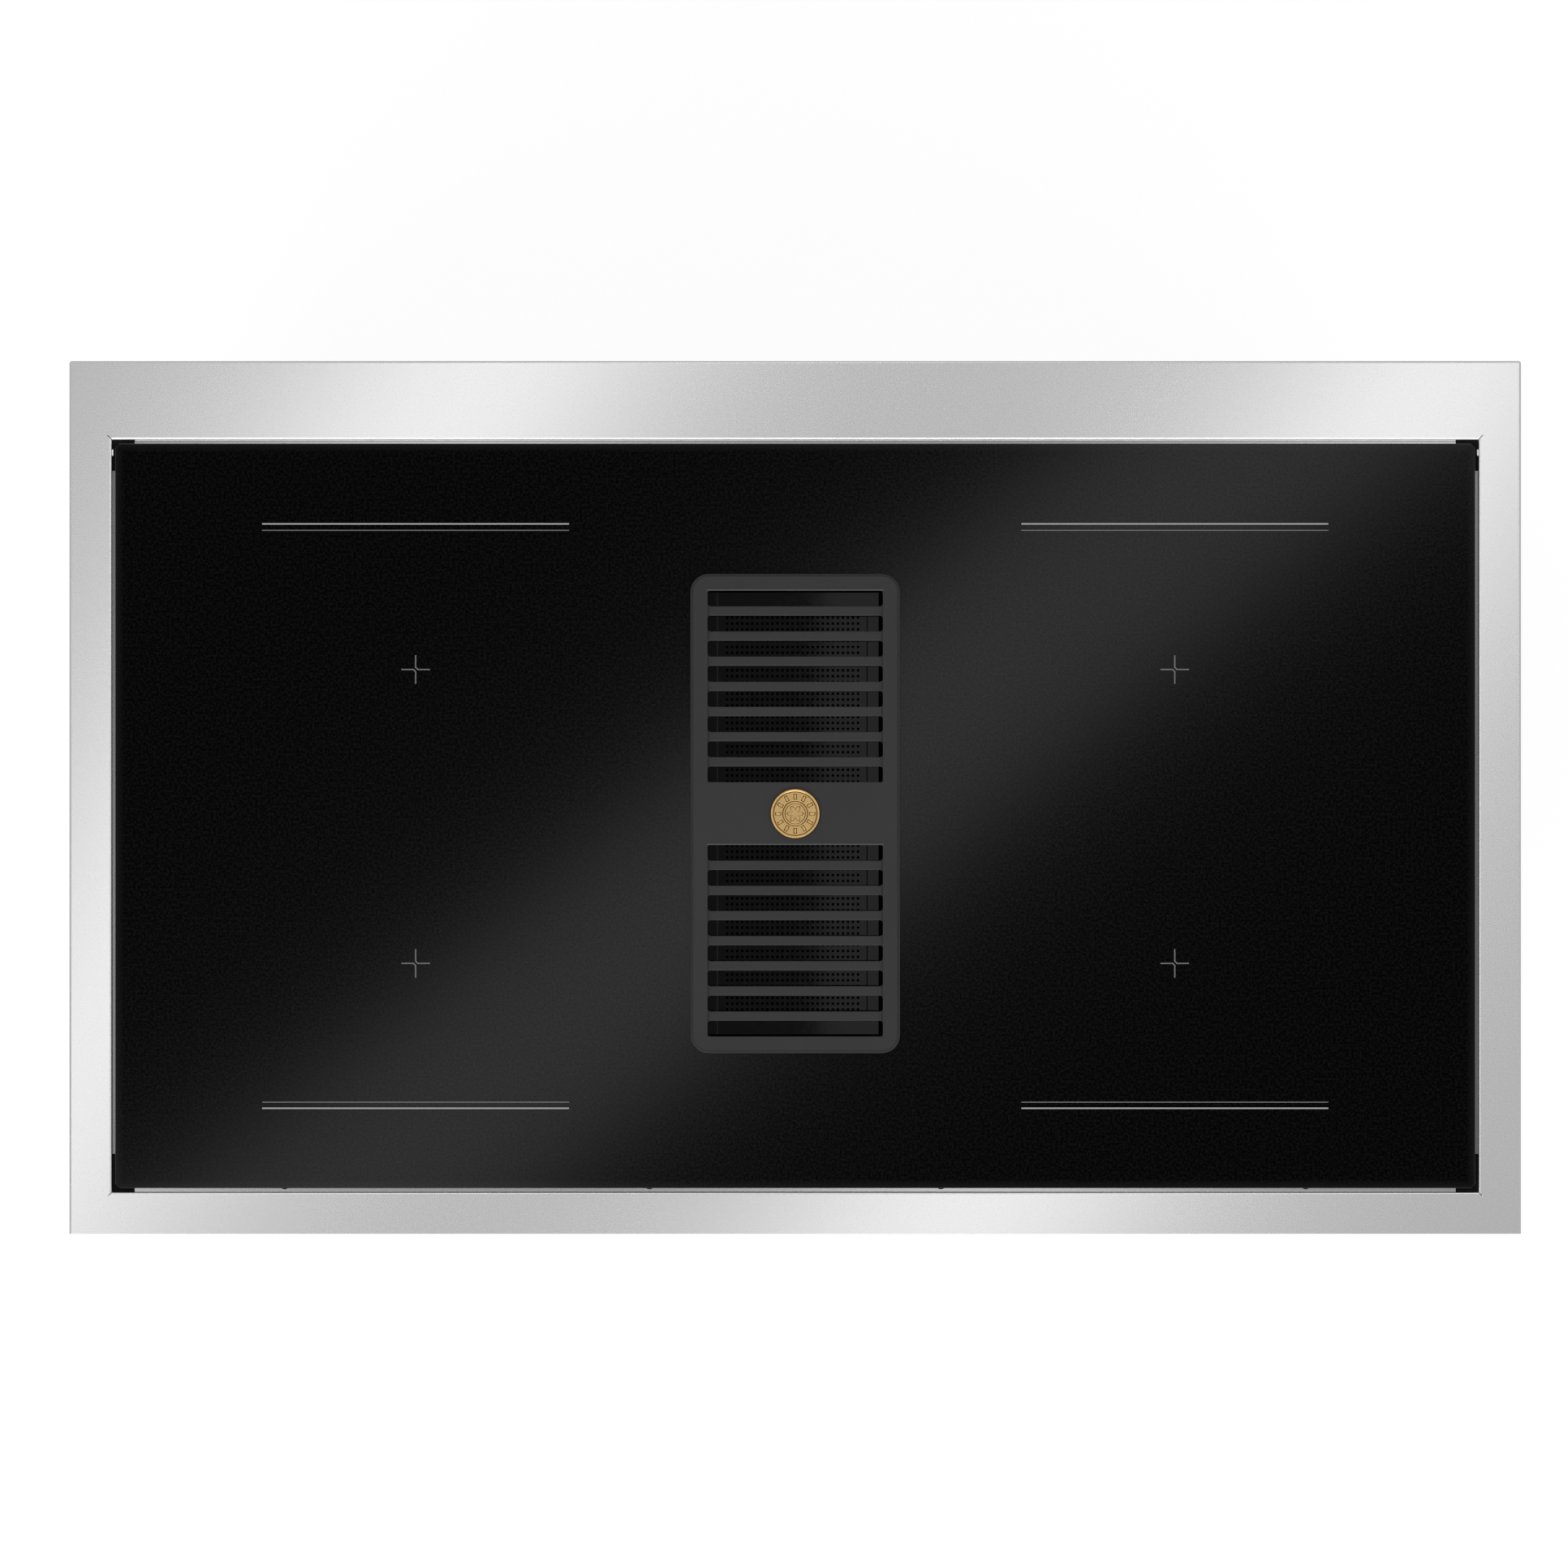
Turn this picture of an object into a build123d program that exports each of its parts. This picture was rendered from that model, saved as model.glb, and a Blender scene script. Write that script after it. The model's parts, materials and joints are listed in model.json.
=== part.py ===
from build123d import *

import os
from math import atan, degrees

os.makedirs("parts", exist_ok=True)

# Floor-standing induction range cooker with an air intake in the middle of its hob.
# Millimetres, +Z up, the front towards -Y. The origin lies on the floor, under the
# centre of the worktop's outline.

# Worktop: a folded stainless sheet that frames the glass
worktop_width = 998.0
worktop_depth = 600.0
worktop_height = 900.0
worktop_sheet = 1.5
skirt_height = 30.0
edge_bend = 1.45
corner_bend = 1.7
rear_border = 54.0
front_border = 28.6
side_border = 29.25
opening_bend = 1.3
slit_length = 5.0
slit_width = 0.5

# Ledge that carries the glass, cut back at the four corners
ledge_width = 20.0
ledge_relief_side = 15.4
ledge_relief_rear = 21.4
ledge_relief_front = 26.2
stop_length = 4.5
stop_thickness = 0.6
stop_from_rear = 6.9
stop_below_top = 1.0

# Glass and its spacers
glass_thickness = 4.0
glass_side_gap = 2.35
glass_end_gap = 2.8
glass_corner = 3.0
glass_bevel = 0.4
spacer_height = 1.0
spacer_diameter = 6.8
spacer_inner_x = 100.2
spacer_outer_x = 351.2
spacer_show_front = 1.0
spacer_show_rear = 0.3

# Intake grille: a cast frame with two windows of bars and a bridge between them
grille_width = 144.2
grille_length = 329.5
grille_y = -11.1
grille_corner = 12.7
grille_height = 5.0
grille_edge = 1.5
grille_lap = 7.0
grille_bridge = 43.0
window_width = 120.5
window_length = 131.7
window_corner = 1.3
bar_count = 7
bar_width = 6.5
bar_recess = 1.2
bar_height = 7.0
bar_edge = 0.8
locating_rim_depth = 5.0
locating_rim_wall = 2.0
locating_clearance = 1.0
badge_diameter = 34.0
badge_height = 2.4
badge_rim = 2.2
badge_rim_slope = 0.5
badge_field_drop = 0.9
badge_ring_outer = 21.0
badge_ring_inner = 17.8
badge_ring_slope = 0.35
badge_ring_height = 0.4
badge_dome = 0.3
badge_seat_depth = 1.0
badge_clearance = 0.15

# Grease filter: a tray with a perforated floor, a little left of the middle
filter_x = -1.8
filter_width = 118.4
filter_length = 304.0
filter_wall = 1.5
filter_height = 14.0
filter_lip = 5.0
plate_thickness = 1.5
plate_drop = 3.0
filter_below_bars = 8.0

# Intake well under the grille, with a cup for what boils over
well_wall = 2.5
well_flange = 9.0
well_inset = 1.0
well_shelf = 4.0
cup_bore = 64.0
cup_clearance = 0.6
cup_wall = 1.5
cup_flange = 5.0
cup_depth = 36.0

# Tray under the glass that holds the electronics
tray_sheet = 1.2
tray_depth = 86.0
tray_flange_lap = 3.0
tray_side_inset = 30.0
tray_front_inset = 55.4
tray_rear_inset = 25.0
deck_drop = 31.0
deck_gap = 6.45

# Induction modules
coil_from_rear = 155.3
coil_from_front = 154.5
coil_pair_gap = 18.0
coil_hole = 56.0
coil_thickness = 5.0
coil_air_gap = 1.5
carrier_thickness = 8.0
carrier_rim = 4.0
carrier_hole = 28.0
carrier_post = 8.0
carrier_post_inset = 22.0
carrier_post_count = 4

# Power boards and the fans that cool them
board_side_gap = 28.85
board_front_gap = 46.0
board_fan_gap = 53.0
board_thickness = 1.6
board_standoff = 6.0
standoff_diameter = 7.0
standoff_inset = 12.0
capacitor_diameter = 22.0
capacitor_height = 22.0
capacitor_pitch = 75.0
capacitor_inset = 37.0
sink_length = 200.0
sink_depth = 44.0
sink_base = 5.0
sink_fin_height = 22.0
sink_fin_thickness = 2.0
sink_fin_count = 8
fan_outward = 40.0
fan_from_rear = 71.0
fan_diameter = 84.0
fan_height = 18.0
fan_hub = 30.0
fan_blade = 1.6
fan_blade_count = 9
fan_ring_gap = 3.0
fan_ring_wall = 2.0
fan_spindle = 6.0
fan_boss = 12.0
fan_lift = 3.0
fan_inlet_hole = 13.0
fan_inlet_circle = 60.0
fan_inlet_count = 8

# Gaps: round a shaft or hinge pin, round a sliding piece, and over a loose seat
shaft_clearance = 0.08
slide_clearance = 0.3
seat_gap = 0.3

# How far a cutting shape runs past a face, and how near a picked edge lies to its face
over = 1.0
near = 0.01

# Cabinet
cabinet_side_inset = 4.0
cabinet_front_inset = 100.0
cabinet_rear_inset = 25.0
cabinet_sheet = 1.2
cabinet_bottom = 100.0
base_sheet = 2.0
base_rim = 12.0
panel_fit = 0.2
rear_return = 16.0
top_return = 12.0

# Legs and the feet that screw into them
leg_inset_x = 45.0
leg_inset_y = 45.0
leg_diameter = 50.0
leg_wall = 4.0
leg_length = 58.0
foot_pad = 60.0
foot_pad_height = 10.0
foot_edge = 1.5

# Fronts: doors, fascia and vent panel
door_depth = 43.0
fascia_depth = 48.0
front_sheet = 1.5
fascia_drop = 158.0
door_top_gap = 4.0
door_bottom_gap = 22.0
vent_height = 72.0
vent_bottom_gap = 4.0
front_edge_bend = 1.0
vent_slot_length = 60.0
vent_slot_height = 5.0
vent_slot_pitch = 76.0
vent_slot_rise = 14.0
vent_slot_columns = 7
vent_slot_rows = 3

# Controls
knob_row_drop = 96.0
knob_first_x = 160.0
knob_end_margin = 71.0
knob_diameter = 44.0
knob_skirt = 50.0
knob_skirt_height = 4.0
knob_skirt_edge = 1.0
knob_length = 32.0
knob_taper = 2.0
knob_edge = 2.0
knob_gap = 1.5
knob_grooves = 20
knob_groove_depth = 0.9
knob_pointer_width = 2.4
knob_pointer_start = 5.5
knob_pointer_depth = 0.8
shaft_diameter = 6.0
shaft_engagement = 20.0
shaft_hole = 11.0
switch_size = 38.0
switch_depth = 24.0
display_width = 136.0
display_height = 46.0
display_corner = 5.0
display_stand = 2.0
display_edge = 0.5
display_body_inset = 4.0
display_body_depth = 18.0
button_diameter = 12.0
button_x = 96.0
button_stand = 4.0
button_edge = 0.75
button_travel = 1.5
button_stem = 6.0
button_stem_length = 10.0

# Ovens, side by side
oven_split = 105.0
cavity_below_door_top = 88.0
cavity_above_door_bottom = 52.0
cavity_sheet = 1.2
flange_sheet = 1.5
main_cavity_width = 470.0
side_cavity_width = 270.0
flange_gap = 0.15
cavity_corner = 12.0
gasket_width = 8.0
gasket_height = 7.0
gasket_margin = 4.0

# Doors
door_side_gap = 0.6
hinge_ear = 3.0
hinge_pin = 8.0
hinge_pin_reach = 6.0
hinge_from_cabinet = 17.0
hinge_above_bottom = 10.0
ear_height = 24.0
ear_reach = 26.0
window_side_margin = 90.0
window_top_margin = 135.0
window_bottom_margin = 95.0
window_radius = 10.0
pane_thickness = 4.0
pane_lap = 12.0
inner_window_margin = 66.0
inner_window_top = 90.0
inner_window_bottom = 80.0
handle_diameter = 18.0
handle_stand = 43.0
handle_below_top = 48.0
handle_end_margin = 46.0
handle_post = 13.0
handle_post_inset = 34.0
handle_edge = 1.0

# Inside the ovens
oven_fan_gap = 14.0
oven_fan_height = 22.0
oven_fan_disc = 1.5
oven_fan_hub = 24.0
oven_fan_blade = 1.2
oven_fan_blade_count = 12
oven_fan_blade_depth = 22.0
oven_fan_from_wall = 6.0
motor_diameter = 78.0
motor_length = 34.0
motor_rear_gap = 5.6
motor_plate = 3.0
motor_shaft = 8.0
motor_shaft_show = 1.0
motor_shaft_hole = 14.0
motor_plate_rim = 14.0
ring_from_cover = 23.0
ring_tail_pitch = 28.0
element_rod = 7.0
element_hole = 8.0
cover_above_floor = 68.0
cover_below_roof = 108.0
cover_depth = 36.0
cover_sheet = 1.2
cover_corner = 14.0
cover_inlet_length = 60.0
cover_inlet_width = 6.0
cover_inlet_count = 12
cover_inlet_circle = 84.0
cover_vent_bridge = 11.333
cover_vent_width = 8.0
cover_vent_count = 5
grill_below_roof = 26.0
grill_side_margin = 62.0
grill_inner_margin = 112.0
grill_front_margin = 70.0
grill_mid_margin = 250.0
grill_bend = 16.0
grill_tail = 8.0
lamp_diameter = 44.0
lamp_height = 16.0
lamp_flange = 3.0
lamp_neck = 22.0
lamp_edge = 5.0
lamp_from_side = 45.0
lamp_below_roof = 62.0
ladder_rod = 5.0
ladder_weld = 0.5
ladder_offset = 12.0
ladder_front = 35.0
ladder_rear = 75.0
ladder_foot = 30.0
ladder_levels = 5
ladder_roof_gap = 81.0
ladder_pair = 14.0
shelf_rod = 6.0
shelf_wire = 3.5
shelf_inset = 2.0
shelf_wire_pitch = 36.0
shelf_level = 2

# Air way from the well to the bottom of the cooker
duct_wall = 2.0
duct_width = 120.0
duct_height = 60.0
duct_above_floor = 8.0
drop_width = 220.0
drop_depth = 48.0
duct_rear_gap = 1.2
plenum_height = 32.0
plenum_reach = 100.0
blower_rear_gap = 7.6
blower_radius = 105.0
blower_height = 50.0
blower_wall = 2.0
blower_feet = 4.0
blower_foot_diameter = 18.0
blower_foot_inset = 18.0
blower_inlet = 126.0
blower_mouth_width = 260.0
impeller_diameter = 180.0
impeller_inner = 136.0
impeller_disc = 2.0
impeller_blade = 1.5
impeller_blade_count = 28
impeller_blade_height = 20.0
impeller_hub = 24.0
blower_motor_diameter = 72.0
blower_motor_height = 17.0
blower_motor_edge = 2.0
blower_shaft = 8.0
charcoal_length = 128.0
charcoal_front_gap = 8.05
charcoal_cell = 18.0
charcoal_wall = 4.0

# Back
vent_row_count = 8
vent_row_pitch = 14.0
back_slot_length = 120.0
back_slot_height = 4.0
back_slot_x = 300.0
back_slot_drop = 340.0
terminal_width = 110.0
terminal_height = 80.0
terminal_depth = 22.0
terminal_x = -380.0
terminal_rise = 90.0
terminal_edge = 3.0
terminal_wall = 2.0
gland_diameter = 18.0
gland_length = 10.0
gland_bore = 11.0
screw_head = 8.0
screw_head_height = 2.2
screw_shank = 3.6
screw_hole = 4.2
screw_length = 8.0
screw_rows = 5
screw_edge_inset = 8.0
screw_end_margin = 50.0

# Levels and edges that follow from the sizes above
worktop_underside = worktop_height - worktop_sheet
glass_bottom = worktop_height - glass_thickness
ledge_top = glass_bottom - spacer_height
ledge_bottom = ledge_top - worktop_sheet
opening_width = worktop_width - 2 * side_border
opening_rear = worktop_depth / 2 - rear_border
opening_front = front_border - worktop_depth / 2
opening_depth = opening_rear - opening_front
opening_y = (opening_rear + opening_front) / 2
glass_width = opening_width - 2 * glass_side_gap
glass_depth = opening_depth - 2 * glass_end_gap
glass_rear = opening_rear - glass_end_gap
glass_front = opening_front + glass_end_gap
cutout_width = grille_width - 2 * grille_lap
cutout_length = grille_length - 2 * grille_lap
cutout_corner = grille_corner - grille_lap
grille_top = worktop_height + grille_height
bar_top = grille_top - bar_recess
bar_bottom = bar_top - bar_height
well_width = cutout_width - 2 * well_inset
well_length = cutout_length - 2 * well_inset
well_rear = grille_y + well_length / 2
well_outer_half = well_width / 2 + well_wall
tray_bottom = ledge_bottom - tray_depth
tray_floor = tray_bottom + tray_sheet
tray_half = opening_width / 2 - tray_side_inset
tray_front = opening_front + tray_front_inset
tray_rear = opening_rear - tray_rear_inset
deck_inner = well_outer_half + well_flange + deck_gap
deck_middle = (deck_inner + tray_half) / 2
coil_rear_y = glass_rear - coil_from_rear
coil_front_y = glass_front + coil_from_front
coil_diameter = coil_rear_y - coil_front_y - coil_pair_gap
fan_x = deck_middle + fan_outward
fan_y = tray_rear - fan_from_rear
fan_ring_inner = fan_diameter / 2 + fan_ring_gap
board_length = tray_half - deck_inner - 2 * board_side_gap
board_front = tray_front + board_front_gap
board_rear = fan_y - fan_ring_inner - fan_ring_wall - board_fan_gap
board_depth = board_rear - board_front
board_y = (board_front + board_rear) / 2
tray_top = ledge_bottom - tray_sheet
deck_top = ledge_bottom - deck_drop
well_floor = tray_floor + well_wall
filter_top = bar_bottom - filter_below_bars
filter_bottom = filter_top - filter_height
plate_top = filter_top - plate_drop
cabinet_half = worktop_width / 2 - cabinet_side_inset
cabinet_front = cabinet_front_inset - worktop_depth / 2
cabinet_rear = worktop_depth / 2 - cabinet_rear_inset
cabinet_inside = cabinet_half - cabinet_sheet - panel_fit
base_top = cabinet_bottom + base_sheet
back_face = cabinet_rear - cabinet_sheet
leg_x = cabinet_half - leg_inset_x
leg_front_y = cabinet_front + leg_inset_y
leg_rear_y = cabinet_rear - leg_inset_y
door_front = cabinet_front - door_depth
fascia_front = cabinet_front - fascia_depth
fascia_bottom = worktop_height - fascia_drop
vent_bottom = cabinet_bottom + vent_bottom_gap
vent_top = vent_bottom + vent_height
door_bottom = vent_top + door_bottom_gap
door_top = fascia_bottom - door_top_gap
knob_row_height = worktop_height - knob_row_drop
knob_pitch = (cabinet_half - knob_end_margin - knob_first_x) / 3
cavity_floor = door_bottom + cavity_above_door_bottom
cavity_roof = door_top - cavity_below_door_top
cavity_height = cavity_roof - cavity_floor
gasket_front = cabinet_front - gasket_height
door_back = gasket_front - seat_gap
hinge_y = cabinet_front - hinge_from_cabinet
hinge_z = door_bottom + hinge_above_bottom
handle_y = door_front - handle_stand
drop_rear = back_face - duct_rear_gap
drop_front = drop_rear - drop_depth
cavity_rear = drop_front - motor_rear_gap - motor_length
cavity_depth = cavity_rear - cabinet_front
blower_bottom = base_top + blower_feet
blower_top = blower_bottom + blower_height
blower_y = drop_rear - blower_radius - blower_rear_gap
plenum_front = blower_y - plenum_reach
rim_front = cabinet_front + flange_sheet + flange_gap
charcoal_front = rim_front + base_sheet + charcoal_front_gap
charcoal_rear = charcoal_front + charcoal_length
blower_mouth_y = charcoal_rear + seat_gap
plenum_top = blower_top + plenum_height
duct_bottom = tray_floor + duct_above_floor
duct_top = duct_bottom + duct_height
cavity_rear_inside = cavity_rear - cavity_sheet
oven_fan_back = cavity_rear_inside - oven_fan_from_wall
cover_size = cavity_height - cover_above_floor - cover_below_roof
ring_diameter = cover_size - 2 * ring_from_cover
oven_fan_diameter = ring_diameter - 2 * oven_fan_gap
oven_fan_z = cavity_floor + cover_above_floor + cover_size / 2
back_slot_z = worktop_height - back_slot_drop
terminal_z = cabinet_bottom + terminal_rise
screw_x = cabinet_half - screw_edge_inset
screw_first_z = cabinet_bottom + screw_end_margin
screw_pitch = (worktop_underside - screw_end_margin - screw_first_z) / (screw_rows - 1)
screw_places = [screw_first_z + row * screw_pitch for row in range(screw_rows)]


def block(x0, x1, y0, y1, z0, z1, mode=Mode.ADD):
    """A box between two corners, in the part that is being built."""
    with Locations(((x0 + x1) / 2, (y0 + y1) / 2, (z0 + z1) / 2)):
        Box(x1 - x0, y1 - y0, z1 - z0, mode=mode)


def rod_x(x0, x1, y, z, diameter, mode=Mode.ADD):
    """A round rod along X, in the part that is being built."""
    with Locations(Location(((x0 + x1) / 2, y, z), (0, 90, 0))):
        Cylinder(diameter / 2, x1 - x0, mode=mode)


def rod_y(x, y0, y1, z, diameter, mode=Mode.ADD):
    """A round rod along Y, in the part that is being built."""
    with Locations(Location((x, (y0 + y1) / 2, z), (90, 0, 0))):
        Cylinder(diameter / 2, y1 - y0, mode=mode)


def rod_z(x, y, z0, z1, diameter, mode=Mode.ADD):
    """A round rod along Z, in the part that is being built."""
    with Locations((x, y, (z0 + z1) / 2)):
        Cylinder(diameter / 2, z1 - z0, mode=mode)


# Worktop frame
with BuildPart() as worktop_frame:
    with BuildSketch(Plane.XY.offset(worktop_height)):
        Rectangle(worktop_width, worktop_depth)
    extrude(amount=-skirt_height)
    with BuildSketch(Plane.XY.offset(worktop_underside)):
        Rectangle(worktop_width - 2 * worktop_sheet, worktop_depth - 2 * worktop_sheet)
    extrude(amount=-skirt_height, mode=Mode.SUBTRACT)
    rear_corners = worktop_frame.edges().filter_by(Axis.Z).filter_by(
        lambda e: e.center().Y > worktop_depth / 2 - worktop_sheet / 2
    )
    fillet(rear_corners, radius=corner_bend)
    with BuildSketch(Plane.XY.offset(worktop_underside)):
        with Locations((0, opening_y)):
            Rectangle(opening_width + 2 * worktop_sheet, opening_depth + 2 * worktop_sheet)
    extrude(amount=ledge_bottom - worktop_underside)
    with BuildSketch(Plane.XY.offset(worktop_height)):
        with Locations((0, opening_y)):
            Rectangle(opening_width, opening_depth)
    extrude(amount=ledge_bottom - worktop_height, mode=Mode.SUBTRACT)
    # The bends of the sheet: left, right and rear outside, and all round the opening
    top_edges = worktop_frame.edges().group_by(Axis.Z)[-1]
    opening_edges = top_edges.filter_by(
        lambda e: abs(e.center().X) < opening_width / 2 + over
        and opening_front - over < e.center().Y < opening_rear + over
    )
    outer_edges = top_edges.filter_by(
        lambda e: abs(e.center().X) > opening_width / 2 + over or e.center().Y > opening_rear + over
    )
    fillet(outer_edges, radius=edge_bend)
    fillet(opening_edges, radius=opening_bend)
    # The ledge: one strip a side, none of them reaching the corners
    strip_half = opening_width / 2 - ledge_relief_side
    for edge_y, inward in ((opening_rear, -1), (opening_front, 1)):
        with BuildSketch(Plane.XY.offset(ledge_bottom)):
            with Locations((0, edge_y + inward * ledge_width / 2)):
                Rectangle(2 * strip_half, ledge_width)
        extrude(amount=worktop_sheet)
    for side in (-1, 1):
        with BuildSketch(Plane.XY.offset(ledge_bottom)):
            strip_rear = opening_rear - ledge_relief_rear
            strip_front = opening_front + ledge_relief_front
            with Locations((side * (opening_width - ledge_width) / 2, (strip_rear + strip_front) / 2)):
                Rectangle(ledge_width, strip_rear - strip_front)
        extrude(amount=worktop_sheet)
    # Small stops that keep the glass off the sides
    for side in (-1, 1):
        wall = side * opening_width / 2
        stop_inner = wall - side * stop_thickness
        block(
            min(wall, stop_inner),
            max(wall, stop_inner),
            opening_rear - stop_from_rear - stop_length,
            opening_rear - stop_from_rear,
            ledge_bottom,
            worktop_height - stop_below_top - opening_bend,
        )
    # Mitre slits at the corners of the opening
    for x_side in (-1, 1):
        for corner_y, y_side in ((opening_rear, 1), (opening_front, -1)):
            slit_turn = 45 * x_side * y_side
            slit_x = x_side * (opening_width / 2 + slit_length / 4)
            slit_y = corner_y + y_side * slit_length / 4
            with Locations(Location((slit_x, slit_y, worktop_height), (0, 0, slit_turn))):
                Box(slit_length, slit_width, 4 * worktop_sheet, mode=Mode.SUBTRACT)
worktop_frame.part.label = "worktop_frame"
export_step(worktop_frame.part, "parts/worktop_frame.step")

# Hob glass
with BuildPart() as hob_glass:
    with BuildSketch(Plane.XY.offset(glass_bottom)) as glass_outline:
        with Locations((0, opening_y)):
            Rectangle(glass_width, glass_depth)
        chamfer(glass_outline.vertices(), length=glass_corner)
        with Locations((0, grille_y)):
            RectangleRounded(cutout_width, cutout_length, cutout_corner, mode=Mode.SUBTRACT)
    extrude(amount=glass_thickness)
    glass_rim = hob_glass.edges().group_by(Axis.Z)[-1].filter_by(
        lambda e: abs(e.center().X) > cutout_width or abs(e.center().Y - grille_y) > cutout_length / 2 + over
    )
    chamfer(glass_rim, length=glass_bevel)
hob_glass.part.label = "hob_glass"
export_step(hob_glass.part, "parts/hob_glass.step")

# Spacers between the glass and its ledge
with BuildPart() as glass_spacers:
    spacer_front_y = glass_front - spacer_show_front + spacer_diameter / 2
    spacer_rear_y = glass_rear + spacer_show_rear - spacer_diameter / 2
    for spacer_x in (-spacer_outer_x, -spacer_inner_x, spacer_inner_x, spacer_outer_x):
        for spacer_y in (spacer_front_y, spacer_rear_y):
            rod_z(spacer_x, spacer_y, ledge_top, glass_bottom, spacer_diameter)
glass_spacers.part.label = "glass_spacers"
export_step(glass_spacers.part, "parts/glass_spacers.step")

# Tray under the glass: flange, walls, floor, and a deck for the coils on each side
with BuildPart() as hob_tray:
    with BuildSketch(Plane.XY.offset(ledge_bottom)):
        with Locations((0, opening_y)):
            Rectangle(opening_width + 2 * tray_flange_lap, opening_depth + 2 * tray_flange_lap)
    extrude(amount=-tray_sheet)
    block(-tray_half, tray_half, tray_front, tray_rear, tray_bottom, ledge_bottom)
    block(
        -tray_half + tray_sheet,
        tray_half - tray_sheet,
        tray_front + tray_sheet,
        tray_rear - tray_sheet,
        tray_floor,
        ledge_bottom,
        mode=Mode.SUBTRACT,
    )
    for side in (-1, 1):
        deck_edges = sorted((side * deck_inner, side * tray_half))
        block(deck_edges[0], deck_edges[1], tray_front, tray_rear, deck_top - tray_sheet, deck_top)
        # Ring, spindle and inlet holes of the cooling fan
        centre = (side * fan_x, fan_y)
        with BuildSketch(Plane.XY.offset(tray_floor)):
            with Locations(centre):
                Circle(fan_ring_inner + fan_ring_wall)
                Circle(fan_ring_inner, mode=Mode.SUBTRACT)
        extrude(amount=fan_height)
        with Locations((centre[0], centre[1], tray_bottom)):
            with PolarLocations(fan_inlet_circle / 2, fan_inlet_count):
                Cylinder(fan_inlet_hole / 2, 4 * tray_sheet, mode=Mode.SUBTRACT)
        rod_z(centre[0], centre[1], tray_floor, tray_floor + fan_lift + fan_height, fan_spindle)
        rod_z(centre[0], centre[1], tray_floor, tray_floor + fan_lift - seat_gap, fan_boss)
        # Standoffs of the power board
        board_x = side * deck_middle
        for dx in (-1, 1):
            for dy in (-1, 1):
                rod_z(
                    board_x + dx * (board_length / 2 - standoff_inset),
                    board_y + dy * (board_depth / 2 - standoff_inset),
                    tray_floor,
                    tray_floor + board_standoff,
                    standoff_diameter,
                )
    # Way through the floor for the spill cup, and through the rear wall for the duct
    rod_z(0, grille_y, tray_bottom - over, tray_floor + over, cup_bore + 2 * cup_flange, mode=Mode.SUBTRACT)
    block(
        -duct_width / 2 - duct_wall - seat_gap,
        duct_width / 2 + duct_wall + seat_gap,
        tray_rear - 2 * tray_sheet,
        tray_rear + tray_sheet,
        duct_bottom - duct_wall - seat_gap,
        duct_top + duct_wall + seat_gap,
        mode=Mode.SUBTRACT,
    )
hob_tray.part.label = "hob_tray"
export_step(hob_tray.part, "parts/hob_tray.step")

# Induction coils on their carriers
coil_places = [(x, y) for x in (-deck_middle, deck_middle) for y in (coil_rear_y, coil_front_y)]
coil_top = glass_bottom - coil_air_gap
carrier_top = coil_top - coil_thickness
carrier_bottom = carrier_top - carrier_thickness
with BuildPart() as induction_coils:
    for place in coil_places:
        with BuildSketch(Plane.XY.offset(carrier_top)):
            with Locations(place):
                Circle(coil_diameter / 2)
                Circle(coil_hole / 2, mode=Mode.SUBTRACT)
        extrude(amount=coil_thickness)
induction_coils.part.label = "induction_coils"
export_step(induction_coils.part, "parts/induction_coils.step")

with BuildPart() as coil_carriers:
    for place in coil_places:
        with BuildSketch(Plane.XY.offset(carrier_bottom)):
            with Locations(place):
                Circle(coil_diameter / 2 + carrier_rim)
                Circle(carrier_hole / 2, mode=Mode.SUBTRACT)
        extrude(amount=carrier_thickness)
        with Locations((place[0], place[1], (deck_top + carrier_bottom) / 2)):
            with PolarLocations(coil_diameter / 2 - carrier_post_inset, carrier_post_count, start_angle=45):
                Cylinder(carrier_post / 2, carrier_bottom - deck_top)
coil_carriers.part.label = "coil_carriers"
export_step(coil_carriers.part, "parts/coil_carriers.step")

# Power boards with their heat sinks
with BuildPart() as power_boards:
    board_bottom = tray_floor + board_standoff
    board_top = board_bottom + board_thickness
    for side in (-1, 1):
        board_x = side * deck_middle
        block(
            board_x - board_length / 2,
            board_x + board_length / 2,
            board_y - board_depth / 2,
            board_y + board_depth / 2,
            board_bottom,
            board_top,
        )
        block(
            board_x - sink_length / 2,
            board_x + sink_length / 2,
            board_y - sink_depth / 2,
            board_y + sink_depth / 2,
            board_top,
            board_top + sink_base,
        )
        fin_pitch = (sink_depth - sink_fin_thickness) / (sink_fin_count - 1)
        with Locations((board_x, board_y, board_top + sink_base + sink_fin_height / 2)):
            with GridLocations(0, fin_pitch, 1, sink_fin_count):
                Box(sink_length, sink_fin_thickness, sink_fin_height)
        for dx in (-1, 0, 1):
            rod_z(
                board_x + dx * capacitor_pitch,
                board_rear - capacitor_inset,
                board_top,
                board_top + capacitor_height,
                capacitor_diameter,
            )
power_boards.part.label = "power_boards"
export_step(power_boards.part, "parts/power_boards.step")

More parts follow.
